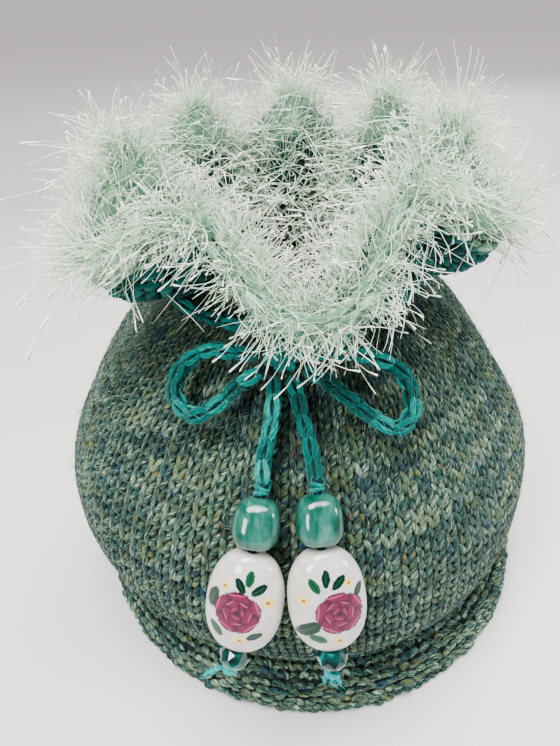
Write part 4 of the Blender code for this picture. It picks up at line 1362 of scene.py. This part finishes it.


# Studio
# A pale floor with painted shade that makes it a little darker further back, soft light from a window side
# and above, and the camera where the photograph was taken.
CAMERA_PLACE = (-0.00704, -0.14878, 0.17930)
CAMERA_PITCH = 0.6293
CAMERA_ROLL = -0.0418
FOCAL_PIXELS = 560.0
FRAME_HEIGHT_PIXELS = 746.0
SENSOR = 36.0
FLOOR_HALF = 20
FLOOR_PAINTED_SHADE_SPAN = (0.02, 0.40)
AIM = Vector((0, 0, 0.08))
ROOM_TINT = (0.90, 0.94, 1.0, 1.0)
ROOM_LIGHT = 0.36
floor_mesh = bpy.data.meshes.new("floor")
corners = [(x * FLOOR_HALF, y * FLOOR_HALF, 0) for x, y in ((-1, -1), (1, -1), (1, 1), (-1, 1))]
floor_mesh.from_pydata(corners, [], [(0, 1, 2, 3)])
floor = on_scene("floor", floor_mesh)
floor_paint, tree, shader = finish("floor_paint", Roughness=0.75)
place = node(tree, "ShaderNodeTexCoord").outputs["Object"]
away = node(tree, "ShaderNodeSeparateXYZ", {0: place}).outputs[1]
# Painted shade: the floor's colour darkens from near the cosy to further back.
painted_falloff_shade = node(tree, "ShaderNodeMapRange", {
    "Value": away, "From Min": FLOOR_PAINTED_SHADE_SPAN[0], "From Max": FLOOR_PAINTED_SHADE_SPAN[1],
}).outputs[0]
coloured(tree, shader, painted_falloff_shade, ((0.0, (0.64, 0.63, 0.62)), (1.0, (0.40, 0.375, 0.36))))
floor_mesh.materials.append(floor_paint)

for name, kind, place, size, power, tint in (
    ("key", "SUN", (-0.28, -0.20, 1.00), radians(26), 3.3, (1.0, 0.985, 0.96)),
    ("window", "AREA", (-0.60, -0.75, 0.62), 0.28, 5.0, (1.0, 1.0, 1.0)),
    ("strip", "AREA", (0.90, -0.30, 0.48), 0.30, 4.5, (0.97, 0.99, 1.0)),
    ("top", "AREA", (0.05, -0.05, 1.10), 0.50, 11.0, (1.0, 1.0, 1.0)),
    ("behind", "AREA", (0.30, 0.80, 0.50), 0.45, 5.0, (1.0, 0.99, 0.97)),
):
    lamp = bpy.data.lights.new(name, kind)
    if kind == "SUN":
        lamp.angle = size
    else:
        lamp.size = size
    lamp.energy = power
    lamp.color = tint
    light = on_scene(name, lamp)
    light.location = place
    light.rotation_euler = (AIM - Vector(place)).to_track_quat("-Z", "Y").to_euler()

world = bpy.data.worlds.new("soft_room")
world.use_nodes = True
room = world.node_tree.nodes["Background"].inputs
room["Color"].default_value = ROOM_TINT
room["Strength"].default_value = ROOM_LIGHT
bpy.context.scene.world = world

bpy.context.scene.view_settings.look = "AgX - Medium High Contrast"

lens = bpy.data.cameras.new("photo_camera")
lens.sensor_fit = "VERTICAL"
lens.sensor_height = SENSOR
lens.lens = SENSOR * FOCAL_PIXELS / FRAME_HEIGHT_PIXELS
lens.clip_start = 0.01
camera = on_scene("photo_camera", lens)
forward = Vector((0, cos(CAMERA_PITCH), -sin(CAMERA_PITCH)))
level_up = Vector((0, sin(CAMERA_PITCH), cos(CAMERA_PITCH)))
right = Vector((1, 0, 0)) * cos(CAMERA_ROLL) + level_up * sin(CAMERA_ROLL)
upright = level_up * cos(CAMERA_ROLL) - Vector((1, 0, 0)) * sin(CAMERA_ROLL)
turned = Matrix((right, upright, -forward)).transposed().to_4x4()
camera.matrix_world = Matrix.Translation(CAMERA_PLACE) @ turned
bpy.context.scene.camera = camera
